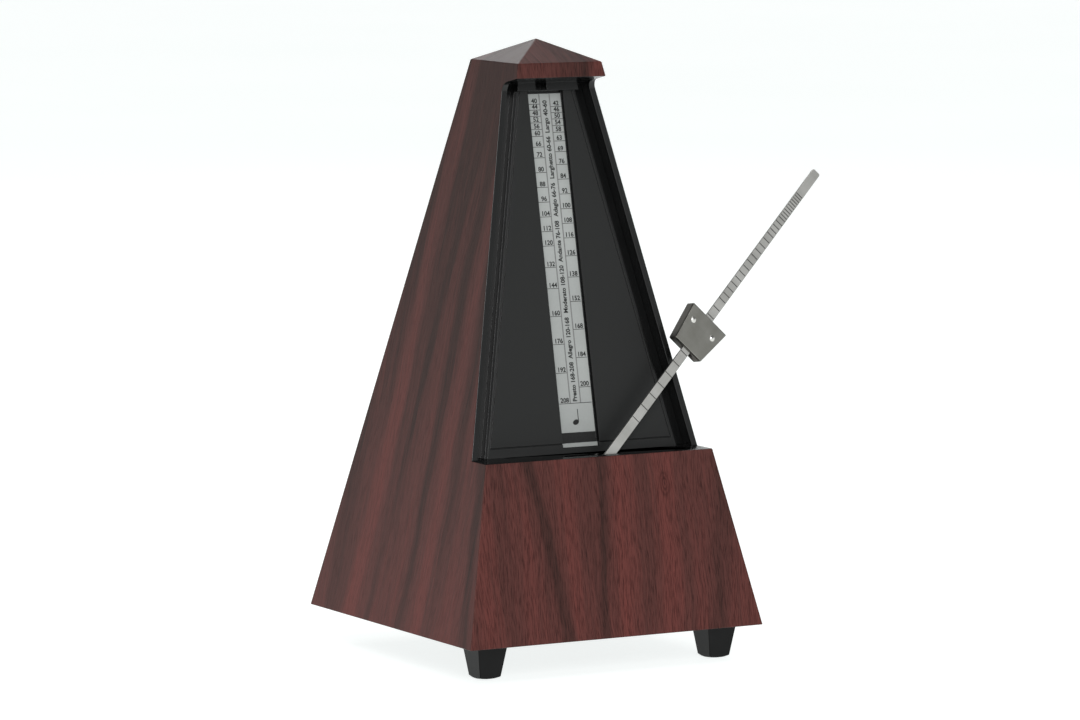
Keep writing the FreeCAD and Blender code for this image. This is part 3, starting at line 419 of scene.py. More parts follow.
def start_tree(name, sockets):
    """A new Geometry Nodes tree with named inputs, and its input and output nodes."""
    tree = bpy.data.node_groups.new(name, "GeometryNodeTree")
    tree.interface.new_socket("Geometry", in_out="INPUT", socket_type="NodeSocketGeometry")
    tree.interface.new_socket("Geometry", in_out="OUTPUT", socket_type="NodeSocketGeometry")
    for label, kind in sockets:
        tree.interface.new_socket(label, in_out="INPUT", socket_type=kind)
    return tree, tree.nodes.new("NodeGroupInput"), tree.nodes.new("NodeGroupOutput")


def grown(name, start, tree, values):
    """Run a tree on a start mesh with the given inputs, and keep the plain result."""
    piece = bpy.data.objects.new(name, start)
    bpy.context.scene.collection.objects.link(piece)
    grow = piece.modifiers.new("grow", "NODES")
    grow.node_group = tree
    for item in tree.interface.items_tree:
        if item.item_type == "SOCKET" and item.name in values:
            grow[item.identifier] = values[item.name]
    depsgraph = bpy.context.evaluated_depsgraph_get()
    baked = bpy.data.meshes.new_from_object(piece.evaluated_get(depsgraph), depsgraph=depsgraph)
    piece.modifiers.clear()
    piece.data = baked
    return piece


def points_mesh(name, points):
    mesh = bpy.data.meshes.new(name)
    mesh.from_pydata(points, [], [])
    return mesh


def make_rule_tree():
    """Printed rules: one thin bar on every point."""
    sizes = [(label, "NodeSocketFloat") for label in ("Rule length", "Rule width", "Ink thickness")]
    tree, start, end = start_tree("printed_rules", sizes + [("Ink", "NodeSocketMaterial")])
    link = tree.links.new
    size = tree.nodes.new("ShaderNodeCombineXYZ")
    link(start.outputs["Rule length"], size.inputs["X"])
    link(start.outputs["Rule width"], size.inputs["Y"])
    link(start.outputs["Ink thickness"], size.inputs["Z"])
    bar = tree.nodes.new("GeometryNodeMeshCube")
    link(size.outputs[0], bar.inputs["Size"])
    on_points = tree.nodes.new("GeometryNodeInstanceOnPoints")
    link(start.outputs["Geometry"], on_points.inputs["Points"])
    link(bar.outputs["Mesh"], on_points.inputs["Instance"])
    real = tree.nodes.new("GeometryNodeRealizeInstances")
    link(on_points.outputs["Instances"], real.inputs["Geometry"])
    painted = tree.nodes.new("GeometryNodeSetMaterial")
    link(real.outputs["Geometry"], painted.inputs["Geometry"])
    link(start.outputs["Ink"], painted.inputs["Material"])
    link(painted.outputs["Geometry"], end.inputs["Geometry"])
    return tree


def print_rules(name, points, length, width, ink):
    """Equal bars on points of the scale, given across and up the plate."""
    rules = grown(name, points_mesh(name + "_points", points), rule_tree, {
        "Rule length": length, "Rule width": width, "Ink thickness": PRINT_THICKNESS, "Ink": ink,
    })
    rules.data.transform(PRINT_FRAME)
    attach(rules, "case")


def lettered(words, height, weight, fit=None, upright=True):
    """A line of lettering as a thin solid, with its foot's middle or start at the origin."""
    curve = bpy.data.curves.new("lettering", "FONT")
    curve.body = words
    curve.size = height / CAPITAL_SHARE
    curve.offset = weight
    curve.extrude = PRINT_THICKNESS / 2
    curve.resolution_u = 3
    curve.align_x = "CENTER" if upright else "LEFT"
    source = bpy.data.objects.new("lettering", curve)
    bpy.context.scene.collection.objects.link(source)
    depsgraph = bpy.context.evaluated_depsgraph_get()
    mesh = bpy.data.meshes.new_from_object(source.evaluated_get(depsgraph), depsgraph=depsgraph)
    bpy.data.objects.remove(source)
    if fit:
        run = max(v.co.x for v in mesh.vertices) - min(v.co.x for v in mesh.vertices)
        mesh.transform(Matrix.Diagonal((fit / run, 1, 1, 1)))
    return mesh


def printed_letters(name, lines, ink):
    """Join lines of lettering, each set by its own matrix, into one printed piece."""
    form = bmesh.new()
    for mesh, setting in lines:
        mesh.transform(setting)
        form.from_mesh(mesh)
        bpy.data.meshes.remove(mesh)
    bmesh.ops.remove_doubles(form, verts=form.verts, dist=1e-6)
    joined = bpy.data.meshes.new(name)
    form.to_mesh(joined)
    form.free()
    joined.transform(PRINT_FRAME)
    piece = add_piece(name, joined, ink)
    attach(piece, "case")


plate_paint = make_plate_paint()
black_ink = make_ink("black_ink", 0.006, 0.016)
grey_ink = make_ink("grey_ink", 0.15, 0.20)
finish_parts(plate_paint, "scale_plate")
rule_tree = make_rule_tree()

column = (COLUMN_EDGE + SCALE_HALF) / 2
column_width = SCALE_HALF - COLUMN_EDGE
ticks = [(-column, tempo_place(b), 0) for b in LEFT_TEMPOS]
ticks += [(column, tempo_place(b), 0) for b in RIGHT_TEMPOS]
print_rules("tempo_lines", ticks, column_width, RULE_WIDTH, black_ink)
table_foot = tempo_place(LEFT_TEMPOS[-1])
table_middle = (table_foot + TABLE_HEAD) / 2
column_lines = [(side * COLUMN_EDGE, table_middle, 0) for side in (-1, 1)]
print_rules("column_lines", column_lines, COLUMN_RULE_WIDTH, TABLE_HEAD - table_foot, grey_ink)
print_rules("table_foot_line", [(0, table_foot, 0)], 2 * SCALE_HALF, FOOT_RULE_WIDTH, black_ink)
print_rules("foot_band", [(0, FOOT_BAND_PLACE, 0)], FOOT_BAND_ACROSS, FOOT_BAND_UP,
            black_ink)

numbers = []
for side, tempos in ((-1, LEFT_TEMPOS), (1, RIGHT_TEMPOS)):
    for beats in tempos:
        across = side * column + NUMBER_SHIFT[0]
        setting = Matrix.Translation((across, tempo_place(beats) + NUMBER_SHIFT[1], 0))
        numbers.append((lettered(str(beats), NUMBER_HEIGHT, NUMBER_WEIGHT), setting))
printed_letters("tempo_numbers", numbers, black_ink)

words = []
for word, foot, head in TEMPO_WORDS:
    up_the_plate = Matrix.Rotation(math.pi / 2, 4, "Z")
    setting = Matrix.Translation((WORD_ACROSS, foot, 0)) @ up_the_plate
    line = lettered(word, WORD_HEIGHT, WORD_WEIGHT, head - foot, upright=False)
    words.append((line, setting))
printed_letters("tempo_words", words, black_ink)


NOTE_HEAD_PLACE = (-0.0006, 0.0754, 0)
NOTE_HEAD_HALF = (0.00125, 0.00088)
NOTE_HEAD_TILT = math.radians(22)
NOTE_STEM_PLACE = (0.00045, 0.0777, 0)
NOTE_STEM_SIZE = (0.00028, 0.0044)


def make_note_mesh():
    """A plain quarter note: tilted oval head and a straight stem."""
    form = bmesh.new()
    tilt = Matrix.Rotation(NOTE_HEAD_TILT, 4, "Z")
    oval = Matrix.Translation(NOTE_HEAD_PLACE) @ tilt
    oval = oval @ Matrix.Diagonal((*NOTE_HEAD_HALF, PRINT_THICKNESS, 1))
    bmesh.ops.create_cone(
        form, cap_ends=True, segments=28, radius1=1, radius2=1, depth=1, matrix=oval
    )
    stem = Matrix.Translation(NOTE_STEM_PLACE)
    stem = stem @ Matrix.Diagonal((*NOTE_STEM_SIZE, PRINT_THICKNESS, 1))
    bmesh.ops.create_cube(form, size=1, matrix=stem)
    mesh = bpy.data.meshes.new("note")
    form.to_mesh(mesh)
    form.free()
    return mesh


printed_letters("note_mark", [(make_note_mesh(), Matrix.Identity(4))], black_ink)


# ---- Base plate and feet ----
# The case is closed below by a black moulded plate, held by four screws. It stands on three tapered
# square feet with domed undersides, pegged into the front corners and the middle of the back.
PLATE_EDGE = 0.0003
FOOT_EDGE = 0.00035


def make_satin_black(name, tone, roughness, grain_size, grain_depth):
    """Finely grained black moulding or rubber, with a darkest and a palest grey."""
    finish = new_finish(name, specular=0.16)
    grain = mottled(finish, grain_size, 3.0)
    wide = mottled(finish, 0.006, 2.0)
    low, high = tone
    stops = [(0.3, (low, low, low, 1)), (0.7, (high, high, high * 1.03, 1))]
    surface(finish, Base_Color=ramp(finish, wide, stops))
    surface(finish, Roughness=calc(finish, "MULTIPLY_ADD", grain, 0.12, roughness - 0.06))
    surface(finish, Normal=bump(finish, grain, grain_depth, 0.6))
    return finish


base_black = make_satin_black("base_black", (0.005, 0.008), 0.50, 0.0005, 0.00004)
foot_black = make_satin_black("foot_black", (0.0026, 0.0042), 0.34, 0.00025, 0.00002)
eased("base_plate", PLATE_EDGE, base_black, "case")
for foot in ("foot_front_left", "foot_front_right", "foot_rear"):
    eased(foot, FOOT_EDGE, foot_black, "case", segments=3)


# ---- Screws ----
# Zinc plated cheese-head screws, with a rounded rim and a milled slot. The base's and the pillars'
# screws are set on their holes, heads outwards; the rest hold the brackets inside the movement.
BASE_SCREW = {"head_r": 0.0026, "head_h": 0.0007, "shank_r": 0.0012, "length": 0.0090}
PILLAR_SCREW = {"head_r": 0.0023, "head_h": 0.0011, "shank_r": 0.00075, "length": 0.0032}
SLOT_WIDTH = 0.0005
BASE_SCREW_X, BASE_SCREW_Y, BASE_SCREW_Z = 0.0505, 0.028, 0.0128
PLATE_OUTSIDE = 0.0186
PILLAR_PLACES = ((-0.029, 0.022), (-0.029, 0.052), (0.035, 0.022), (0.035, 0.063))


def make_plated_steel(name, dark, light, roughness):
    """Bright plated steel with faint spots between two tones."""
    finish = new_finish(name, metallic=1.0)
    spots = mottled(finish, 0.0016, 4.0)
    fine = mottled(finish, 0.00018, 2.0)
    surface(finish, Base_Color=ramp(finish, spots, [(0.3, (*dark, 1)), (0.7, (*light, 1))]))
    surface(finish, Roughness=calc(finish, "MULTIPLY_ADD", spots, 0.16, roughness - 0.06))
    surface(finish, Normal=bump(finish, fine, 0.00001, 0.3))
    return finish


def make_screw_mesh(head_r, head_h, shank_r, length):
    """Turned profile of head and shank, with a slot milled across the head."""
    rim = 0.28 * head_h
    profile = [
        (0, -length), (shank_r * 0.7, -length), (shank_r, -length + shank_r * 0.5),
        (shank_r, 0), (head_r, 0), (head_r, head_h - rim),
        (head_r - rim * 0.3, head_h - rim * 0.3), (head_r - rim, head_h), (0, head_h),
    ]
    form = bmesh.new()
    ring = [form.verts.new((r, 0, h)) for r, h in profile]
    edges = [form.edges.new(pair) for pair in zip(ring, ring[1:])]
    bmesh.ops.spin(
        form, geom=ring + edges, cent=(0, 0, 0), axis=(0, 0, 1), angle=2 * math.pi, steps=28
    )
    bmesh.ops.remove_doubles(form, verts=form.verts, dist=1e-7)
    bmesh.ops.recalc_face_normals(form, faces=form.faces)
    mesh = bpy.data.meshes.new("screw_blank")
    form.to_mesh(mesh)
    form.free()
    blank = bpy.data.objects.new("screw_blank", mesh)
    bpy.context.scene.collection.objects.link(blank)
    slot_form = bmesh.new()
    across_head = Matrix.Diagonal((3 * head_r, SLOT_WIDTH, head_h, 1))
    slot = Matrix.Translation((0, 0, head_h)) @ across_head
    bmesh.ops.create_cube(slot_form, size=1, matrix=slot)
    slot_mesh = bpy.data.meshes.new("slot_tool")
    slot_form.to_mesh(slot_mesh)
    slot_form.free()
    tool = bpy.data.objects.new("slot_tool", slot_mesh)
    bpy.context.scene.collection.objects.link(tool)
    milled = blank.modifiers.new("slot", "BOOLEAN")
    milled.operation = "DIFFERENCE"
    milled.object = tool
    depsgraph = bpy.context.evaluated_depsgraph_get()
    result = bpy.data.meshes.new_from_object(blank.evaluated_get(depsgraph), depsgraph=depsgraph)
    result.shade_smooth()
    result.set_sharp_from_angle(angle=math.radians(35))
    bpy.data.objects.remove(blank)
    bpy.data.objects.remove(tool)
    return result


def make_screw_tree():
    """One screw on every point, its head turned along the point's way."""
    sockets = [("Screw", "NodeSocketObject"), ("Plating", "NodeSocketMaterial")]
    tree, start, end = start_tree("screws_on_holes", sockets)
    link = tree.links.new
    screw = tree.nodes.new("GeometryNodeObjectInfo")
    link(start.outputs["Screw"], screw.inputs["Object"])
    way = tree.nodes.new("GeometryNodeInputNamedAttribute")
    way.data_type = "FLOAT_VECTOR"
    way.inputs["Name"].default_value = "way"
    turned = tree.nodes.new("FunctionNodeAlignRotationToVector")
    turned.axis = "Z"
    link(way.outputs["Attribute"], turned.inputs["Vector"])
    on_points = tree.nodes.new("GeometryNodeInstanceOnPoints")
    link(start.outputs["Geometry"], on_points.inputs["Points"])
    link(screw.outputs["Geometry"], on_points.inputs["Instance"])
    link(turned.outputs["Rotation"], on_points.inputs["Rotation"])
    real = tree.nodes.new("GeometryNodeRealizeInstances")
    link(on_points.outputs["Instances"], real.inputs["Geometry"])
    plated = tree.nodes.new("GeometryNodeSetMaterial")
    link(real.outputs["Geometry"], plated.inputs["Geometry"])
    link(start.outputs["Plating"], plated.inputs["Material"])
    link(plated.outputs["Geometry"], end.inputs["Geometry"])
    return tree


def set_screws(part, holes, sizes):
    """Screws in place of a packed group, from (place, way) pairs."""
    blank = bpy.data.objects.new("one_screw", make_screw_mesh(**sizes))
    bpy.context.scene.collection.objects.link(blank)
    start = points_mesh(part + "_holes", [hole for hole, way in holes])
    ways = start.attributes.new("way", "FLOAT_VECTOR", "POINT")
    for item, (hole, way) in zip(ways.data, holes):
        item.vector = way
    inputs = {"Screw": blank, "Plating": zinc_plate}
    screws = grown(part + "_set", start, screw_tree, inputs)
    bpy.data.objects.remove(blank)
    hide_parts(part)
    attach(screws, "case")


zinc_plate = make_plated_steel("zinc_plate", (0.50, 0.50, 0.49), (0.66, 0.66, 0.65), 0.30)
screw_tree = make_screw_tree()
base_holes = [
    ((side * BASE_SCREW_X, end * BASE_SCREW_Y, BASE_SCREW_Z), (0, 0, -1))
    for side in (-1, 1)
    for end in (-1, 1)
]
set_screws("base_screws", base_holes, BASE_SCREW)
pillar_holes = [
    ((side * PLATE_OUTSIDE, y, z), (side, 0, 0)) for side in (-1, 1) for y, z in PILLAR_PLACES
]
set_screws("pillar_screws", pillar_holes, PILLAR_SCREW)
finish_parts(zinc_plate, "bracket_screws", "front_bridge_screws", "rear_cock_screws",
             "escape_bracket_screws")


# ---- Movement frame ----
# Two rolled steel plates held apart by turned pillars and stood on the base plate by angle pieces.
# Small brackets carry the verge and the inner end of the crown wheel's arbor.
def make_rolled_steel():
    """Sheet steel with the fine lines of the rolls."""
    finish = new_finish("rolled_steel", metallic=1.0)
    x, y, z = place(finish)
    fine_y, fine_z = calc(finish, "DIVIDE", y, 0.0150), calc(finish, "DIVIDE", z, 0.00012)
    lines = cloudy(finish, (calc(finish, "DIVIDE", x, 0.0002), fine_y, fine_z), 3.0)
    wide = mottled(finish, 0.010, 3.0)
    tone = calc(finish, "MULTIPLY_ADD", lines, 0.4, wide)
    surface(finish, Base_Color=ramp(finish, tone, [(0.4, (0.44, 0.44, 0.43, 1)),
                                                   (0.9, (0.60, 0.60, 0.59, 1))]))
    surface(finish, Roughness=calc(finish, "MULTIPLY_ADD", wide, 0.2, 0.24))
    surface(finish, Normal=bump(finish, lines, 0.00001, 0.4))
    return finish


rolled_steel = make_rolled_steel()
turned_steel = make_plated_steel("turned_steel", (0.46, 0.46, 0.46), (0.62, 0.62, 0.61), 0.22)
finish_parts(rolled_steel, "movement_plate_left", "movement_plate_right", "foot_bracket_left",
             "foot_bracket_right", "verge_front_bridge", "verge_rear_cock", "escape_bracket")
finish_parts(turned_steel, "pillar_front_lower", "pillar_front_upper", "pillar_rear_lower",
             "pillar_rear_upper", "spring_post")


# ---- Wheel train ----
# Brass wheels with crossings, riveted on steel arbors with cut pinions. The faces are lightly
# brushed in circles, and the click and ratchet are hardened and oiled.
WINDING_Y, WINDING_Z = 0.0146644, 0.0404319
SECOND_Y, SECOND_Z = -0.0090159, 0.0490508
CROWN_Y, CROWN_Z = -0.0202646, 0.0624565


def make_brushed_brass(name, centre_y, centre_z):
    """Brass with fine rings about a wheel's own arbor."""
    finish = new_finish(name, metallic=1.0)
    x, y, z = place(finish)
    from_y, from_z = calc(finish, "SUBTRACT", y, centre_y), calc(finish, "SUBTRACT", z, centre_z)
    across, up = calc(finish, "POWER", from_y, 2.0), calc(finish, "POWER", from_z, 2.0)
    squares = calc(finish, "ADD", across, up)
    ring = calc(finish, "DIVIDE", calc(finish, "SQRT", squares), 0.00015)
    rings = cloudy(finish, (ring, 0.0, calc(finish, "DIVIDE", x, 0.0005)), 2.0)
    tarnish = mottled(finish, 0.006, 4.0)
    tone = calc(finish, "MULTIPLY_ADD", rings, 0.3, tarnish)
    surface(finish, Base_Color=ramp(finish, tone, [(0.40, (0.46, 0.28, 0.09, 1)),
                                                   (0.85, (0.76, 0.54, 0.22, 1))]))
    surface(finish, Roughness=calc(finish, "MULTIPLY_ADD", tarnish, 0.25, 0.16))
    surface(finish, Normal=bump(finish, rings, 0.00001, 0.5))
    return finish


finish_parts(make_brushed_brass("great_brass", WINDING_Y, WINDING_Z), "great_wheel")
finish_parts(make_brushed_brass("second_brass", SECOND_Y, SECOND_Z), "second_wheel")
finish_parts(make_brushed_brass("crown_brass", CROWN_Y, CROWN_Z), "crown_wheel")
finish_parts(turned_steel, "second_arbor", "crown_arbor", "winding_arbor")
hardened_steel = make_plated_steel("hardened_steel", (0.26, 0.26, 0.27), (0.42, 0.42, 0.42), 0.26)
finish_parts(hardened_steel, "ratchet_wheel", "click", "pallet_front", "pallet_rear")


# ---- Mainspring ----
# A blued steel strip in an open spiral, hooked round its post at the outer end. It drives the
# winding arbor, which the key turns through the ratchet.
def make_blued_steel():
    """Tempered spring steel, with the blue of the heat uneven."""
    finish = new_finish("blued_steel", 0.26, metallic=1.0)
    x, y, z = place(finish)
    heat = mottled(finish, 0.012, 3.0)
    lines = cloudy(finish, (calc(finish, "DIVIDE", x, 0.00012), calc(finish, "DIVIDE", y, 0.02),
                            calc(finish, "DIVIDE", z, 0.02)), 2.0)
    surface(finish, Base_Color=ramp(finish, heat, [(0.3, (0.05, 0.07, 0.16, 1)),
                                                   (0.7, (0.14, 0.17, 0.26, 1))]))
    surface(finish, Normal=bump(finish, lines, 0.00001, 0.4))
    return finish


blued_steel = make_blued_steel()
finish_parts(blued_steel, "mainspring", "weight_spring")


# ---- Winding key ----
# A nickel plated key on the end of the winding arbor, outside the right-hand wall: a round socket,
# a short neck and a flat oval thumb plate with a rounded rim and a hole.
KEY_START = 0.0555
KEY_LIP = 0.0005
KEY_STEPS = 48
BORE_R = 0.0030
BORE_DEPTH = 0.0080
SOCKET_R = 0.0046
SOCKET_END = 0.0655
NECK_R = 0.0028
NECK_LENGTH = 0.0025
NECK_DOME = 0.0007
PLATE_MIDDLE = 0.0710
PLATE_HALF = (0.0055, 0.0095, 0.0011)
PLATE_STEPS, RIM_STEPS = 72, 8
PLATE_POWER = 2.5
HOLE_SHIFT, HOLE_R = 0.0022, 0.0012


def turn_about_x(form, profile):
    """Lathe a profile of (x, radius) pairs about the winding arbor."""
    ring = [form.verts.new((x, WINDING_Y, WINDING_Z + r)) for x, r in profile]
    edges = [form.edges.new(pair) for pair in zip(ring, ring[1:])]
    centre = (0, WINDING_Y, WINDING_Z)
    bmesh.ops.spin(
        form, geom=ring + edges, cent=centre, axis=(1, 0, 0), angle=2 * math.pi, steps=KEY_STEPS
    )


def add_thumb_plate(form):
    """An oval slab with a half-round rim and a countersunk hole through its outer half."""
    across, along, thick = PLATE_HALF
    loops = []
    for turn in range(RIM_STEPS + 1):
        angle = math.pi * turn / RIM_STEPS - math.pi / 2
        inset = thick * (1 - math.cos(angle))
        height = thick * math.sin(angle)
        loops.append((across - inset, along - inset, height, PLATE_POWER, 0.0))
    for turn in range(RIM_STEPS + 1):
        angle = math.pi / 2 - math.pi * turn / RIM_STEPS
        flare = HOLE_R + 0.4 * thick * (1 - math.cos(angle))
        loops.append((flare, flare, thick * math.sin(angle), 2.0, HOLE_SHIFT))
    rings = []
    for half_x, half_y, height, power, shift in loops:
        ring = []
        for i in range(PLATE_STEPS):
            angle = 2 * math.pi * i / PLATE_STEPS
            c, s = math.cos(angle), math.sin(angle)
            x = PLATE_MIDDLE + shift + half_x * math.copysign(abs(c) ** (2 / power), c)
            y = WINDING_Y + half_y * math.copysign(abs(s) ** (2 / power), s)
            ring.append(form.verts.new((x, y, WINDING_Z + height)))
        rings.append(ring)
    for low, high in zip(rings, rings[1:] + rings[:1]):
        for i in range(PLATE_STEPS):
            j = (i + 1) % PLATE_STEPS
            form.faces.new((low[i], low[j], high[j], high[i]))


def make_key_mesh():
    """The turned socket with its bore and neck, and the thumb plate across the neck's end."""
    form = bmesh.new()
    neck_end = SOCKET_END + NECK_LENGTH
    turn_about_x(form, [
        (KEY_START, BORE_R), (KEY_START, SOCKET_R - KEY_LIP), (KEY_START + KEY_LIP, SOCKET_R),
        (SOCKET_END - 3 * KEY_LIP, SOCKET_R), (SOCKET_END - KEY_LIP, SOCKET_R - KEY_LIP),
        (SOCKET_END, NECK_R + KEY_LIP), (SOCKET_END + KEY_LIP, NECK_R),
        (neck_end, NECK_R - KEY_LIP), (neck_end + NECK_DOME, 0.0),
    ])
    bore_end = KEY_START + BORE_DEPTH
    turn_about_x(form, [(KEY_START, BORE_R), (bore_end, BORE_R), (bore_end, 0.0)])
    bmesh.ops.remove_doubles(form, verts=form.verts, dist=1e-7)
    add_thumb_plate(form)
    bmesh.ops.recalc_face_normals(form, faces=form.faces)
    mesh = bpy.data.meshes.new("winding_key")
    form.to_mesh(mesh)
    form.free()
    mesh.shade_smooth()
    mesh.set_sharp_from_angle(angle=math.radians(35))
    return mesh


nickel_plate = make_plated_steel("nickel_plate", (0.56, 0.55, 0.52), (0.72, 0.71, 0.68), 0.16)
winding_key = add_piece("thumb_key", make_key_mesh(), nickel_plate)
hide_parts("winding_key")
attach(winding_key, "winding")


# ---- Pendulum ----
# A flat steel rod, notched across its front at every tempo, riveted to a brass hub on a thin verge
# with two pallets. A heavy cast drum is screwed to its lower end inside the case.
PIVOT = Vector((0, -0.04007, 0.06524))
ROD_WAY = Vector((0.699663, 0.099435, 0.707519))
VERGE_WAY = Vector((0, 0.990268, -0.139173))
ROD_ACROSS = VERGE_WAY.cross(ROD_WAY)
ROD_WIDTH = 0.0034
ROD_THICKNESS = 0.0008
ROD_TOP = 0.1416
ROD_BOTTOM = -0.044
ROD_CORNER = 0.0006
NOTCH_LENGTH = 0.00032
NOTCH_DEPTH = 0.00014
SKIN, SIDE_SKIN = 0.00003, 0.00005
VERGE_HOLE_R = 0.0010
HUB_RIVET_R = 0.0006
HUB_RIVET_PLACE = 0.0034


def measure(finish, way):
    """How far a point lies from the pivot along a direction."""
    where = node(finish, "ShaderNodeTexCoord").outputs["Object"]
    from_pivot = {0: where, 1: PIVOT}
    offset = node(finish, "ShaderNodeVectorMath", from_pivot, operation="SUBTRACT").outputs[0]
    inputs = {0: offset, 1: way}
    return node(finish, "ShaderNodeVectorMath", inputs, operation="DOT_PRODUCT").outputs["Value"]


def make_rod_steel():
    """Steel brushed along the rod, with painted shade in the floors of the notches."""
    finish = new_finish("rod_steel", metallic=1.0)
    along, across = measure(finish, ROD_WAY), measure(finish, ROD_ACROSS)
    brushed = cloudy(finish, (calc(finish, "DIVIDE", across, 0.00012),
                              calc(finish, "DIVIDE", along, 0.012), 0.0), 3.0)
    wide = cloudy(finish, (calc(finish, "DIVIDE", along, 0.008), 4.0, 0.0), 3.0)
    tone = calc(finish, "MULTIPLY_ADD", brushed, 0.5, wide)
    steel = ramp(finish, tone, [(0.45, (0.36, 0.355, 0.335, 1)), (1.0, (0.56, 0.55, 0.53, 1))])
    # Painted shade: the floors of the notches are given a near-black colour.
    face = -ROD_THICKNESS / 2 + SKIN
    sunk = calc(finish, "GREATER_THAN", measure(finish, VERGE_WAY), face)
    inside = calc(finish, "LESS_THAN", calc(finish, "ABSOLUTE", across), ROD_WIDTH / 2 - SIDE_SKIN)
    notch = calc(finish, "MULTIPLY", sunk, inside)
    surface(finish, Base_Color=blend_colours(finish, notch, steel, (0.09, 0.088, 0.085, 1)))
    surface(finish, Roughness=calc(finish, "MULTIPLY_ADD", wide, 0.16, 0.22))
    surface(finish, Normal=bump(finish, brushed, 0.00001, 0.5))
    return finish


def make_rod_tree():
    """A flat bar with round corners, and a notch cut across its front at every point."""
    sizes = ("Rod width", "Rod length", "Rod middle", "Rod thickness", "Corner radius",
             "Notch length", "Notch depth", "Verge radius", "Rivet radius", "Rivet place")
    sockets = [(label, "NodeSocketFloat") for label in sizes]
    tree, start, end = start_tree("notched_rod", sockets + [("Steel", "NodeSocketMaterial")])
    link = tree.links.new

    def number(operation, a, b):
        made = tree.nodes.new("ShaderNodeMath")
        made.operation = operation
        for socket, value in zip(made.inputs, (a, b)):
            if isinstance(value, bpy.types.NodeSocket):
                link(value, socket)
            else:
                socket.default_value = value
        return made.outputs[0]

    def triple(x, y, z):
        made = tree.nodes.new("ShaderNodeCombineXYZ")
        for socket, value in zip(made.inputs, (x, y, z)):
            if isinstance(value, bpy.types.NodeSocket):
                link(value, socket)
            else:
                socket.default_value = value
        return made.outputs[0]

    # The bar: a rectangle with round corners, carried through the rod's thickness.
    outline = tree.nodes.new("GeometryNodeCurvePrimitiveQuadrilateral")
    link(start.outputs["Rod width"], outline.inputs["Width"])
    link(start.outputs["Rod length"], outline.inputs["Height"])
    rounded = tree.nodes.new("GeometryNodeFilletCurve")
    link(outline.outputs["Curve"], rounded.inputs["Curve"])
    link(start.outputs["Corner radius"], rounded.inputs["Radius"])
    rounded.mode = "POLY"
    rounded.inputs["Count"].default_value = 5
    half = number("MULTIPLY", start.outputs["Rod thickness"], 0.5)
    path = tree.nodes.new("GeometryNodeCurvePrimitiveLine")
    middle = start.outputs["Rod middle"]
    link(triple(0.0, middle, number("MULTIPLY", half, -1.0)), path.inputs["Start"])
    link(triple(0.0, middle, half), path.inputs["End"])
    bar = tree.nodes.new("GeometryNodeCurveToMesh")
    link(path.outputs["Curve"], bar.inputs["Curve"])
    link(rounded.outputs["Curve"], bar.inputs["Profile Curve"])
    bar.inputs["Fill Caps"].default_value = True

    # The cutters: one for each notch, and drills for the verge and the two hub rivets.
    cutter = tree.nodes.new("GeometryNodeMeshCube")
    wide = number("MULTIPLY", start.outputs["Rod width"], 2.0)
    deep = number("MULTIPLY", start.outputs["Notch depth"], 2.0)
    link(triple(wide, start.outputs["Notch length"], deep), cutter.inputs["Size"])
    cutters = tree.nodes.new("GeometryNodeInstanceOnPoints")
    link(start.outputs["Geometry"], cutters.inputs["Points"])
    link(cutter.outputs["Mesh"], cutters.inputs["Instance"])
    all_cutters = tree.nodes.new("GeometryNodeRealizeInstances")
    link(cutters.outputs["Instances"], all_cutters.inputs["Geometry"])
    drills = []
    for radius in ("Verge radius", "Rivet radius"):
        drill = tree.nodes.new("GeometryNodeMeshCylinder")
        drill.inputs["Vertices"].default_value = 24
        link(start.outputs[radius], drill.inputs["Radius"])
        link(wide, drill.inputs["Depth"])
        drills.append(drill.outputs["Mesh"])
    rivet_places = tree.nodes.new("GeometryNodeMeshLine")
    rivet_places.inputs["Count"].default_value = 2
    rivet_place = start.outputs["Rivet place"]
    below = triple(0.0, number("MULTIPLY", rivet_place, -1.0), 0.0)
    link(below, rivet_places.inputs["Start Location"])
    link(triple(0.0, number("MULTIPLY", rivet_place, 2.0), 0.0), rivet_places.inputs["Offset"])
    rivet_drills = tree.nodes.new("GeometryNodeInstanceOnPoints")
    link(rivet_places.outputs["Mesh"], rivet_drills.inputs["Points"])
    link(drills[1], rivet_drills.inputs["Instance"])
    both_drills = tree.nodes.new("GeometryNodeRealizeInstances")
    link(rivet_drills.outputs["Instances"], both_drills.inputs["Geometry"])
    notched = tree.nodes.new("GeometryNodeMeshBoolean")
    notched.operation = "DIFFERENCE"
    notched.solver = "EXACT"
    link(bar.outputs["Mesh"], notched.inputs["Mesh 1"])
    for tool in (all_cutters.outputs["Geometry"], drills[0], both_drills.outputs["Geometry"]):
        link(tool, notched.inputs["Mesh 2"])
    real = tree.nodes.new("GeometryNodeRealizeInstances")
    link(notched.outputs["Mesh"], real.inputs["Geometry"])
    steel = tree.nodes.new("GeometryNodeSetMaterial")
    link(real.outputs["Geometry"], steel.inputs["Geometry"])
    link(start.outputs["Steel"], steel.inputs["Material"])
    link(steel.outputs["Geometry"], end.inputs["Geometry"])
    return tree


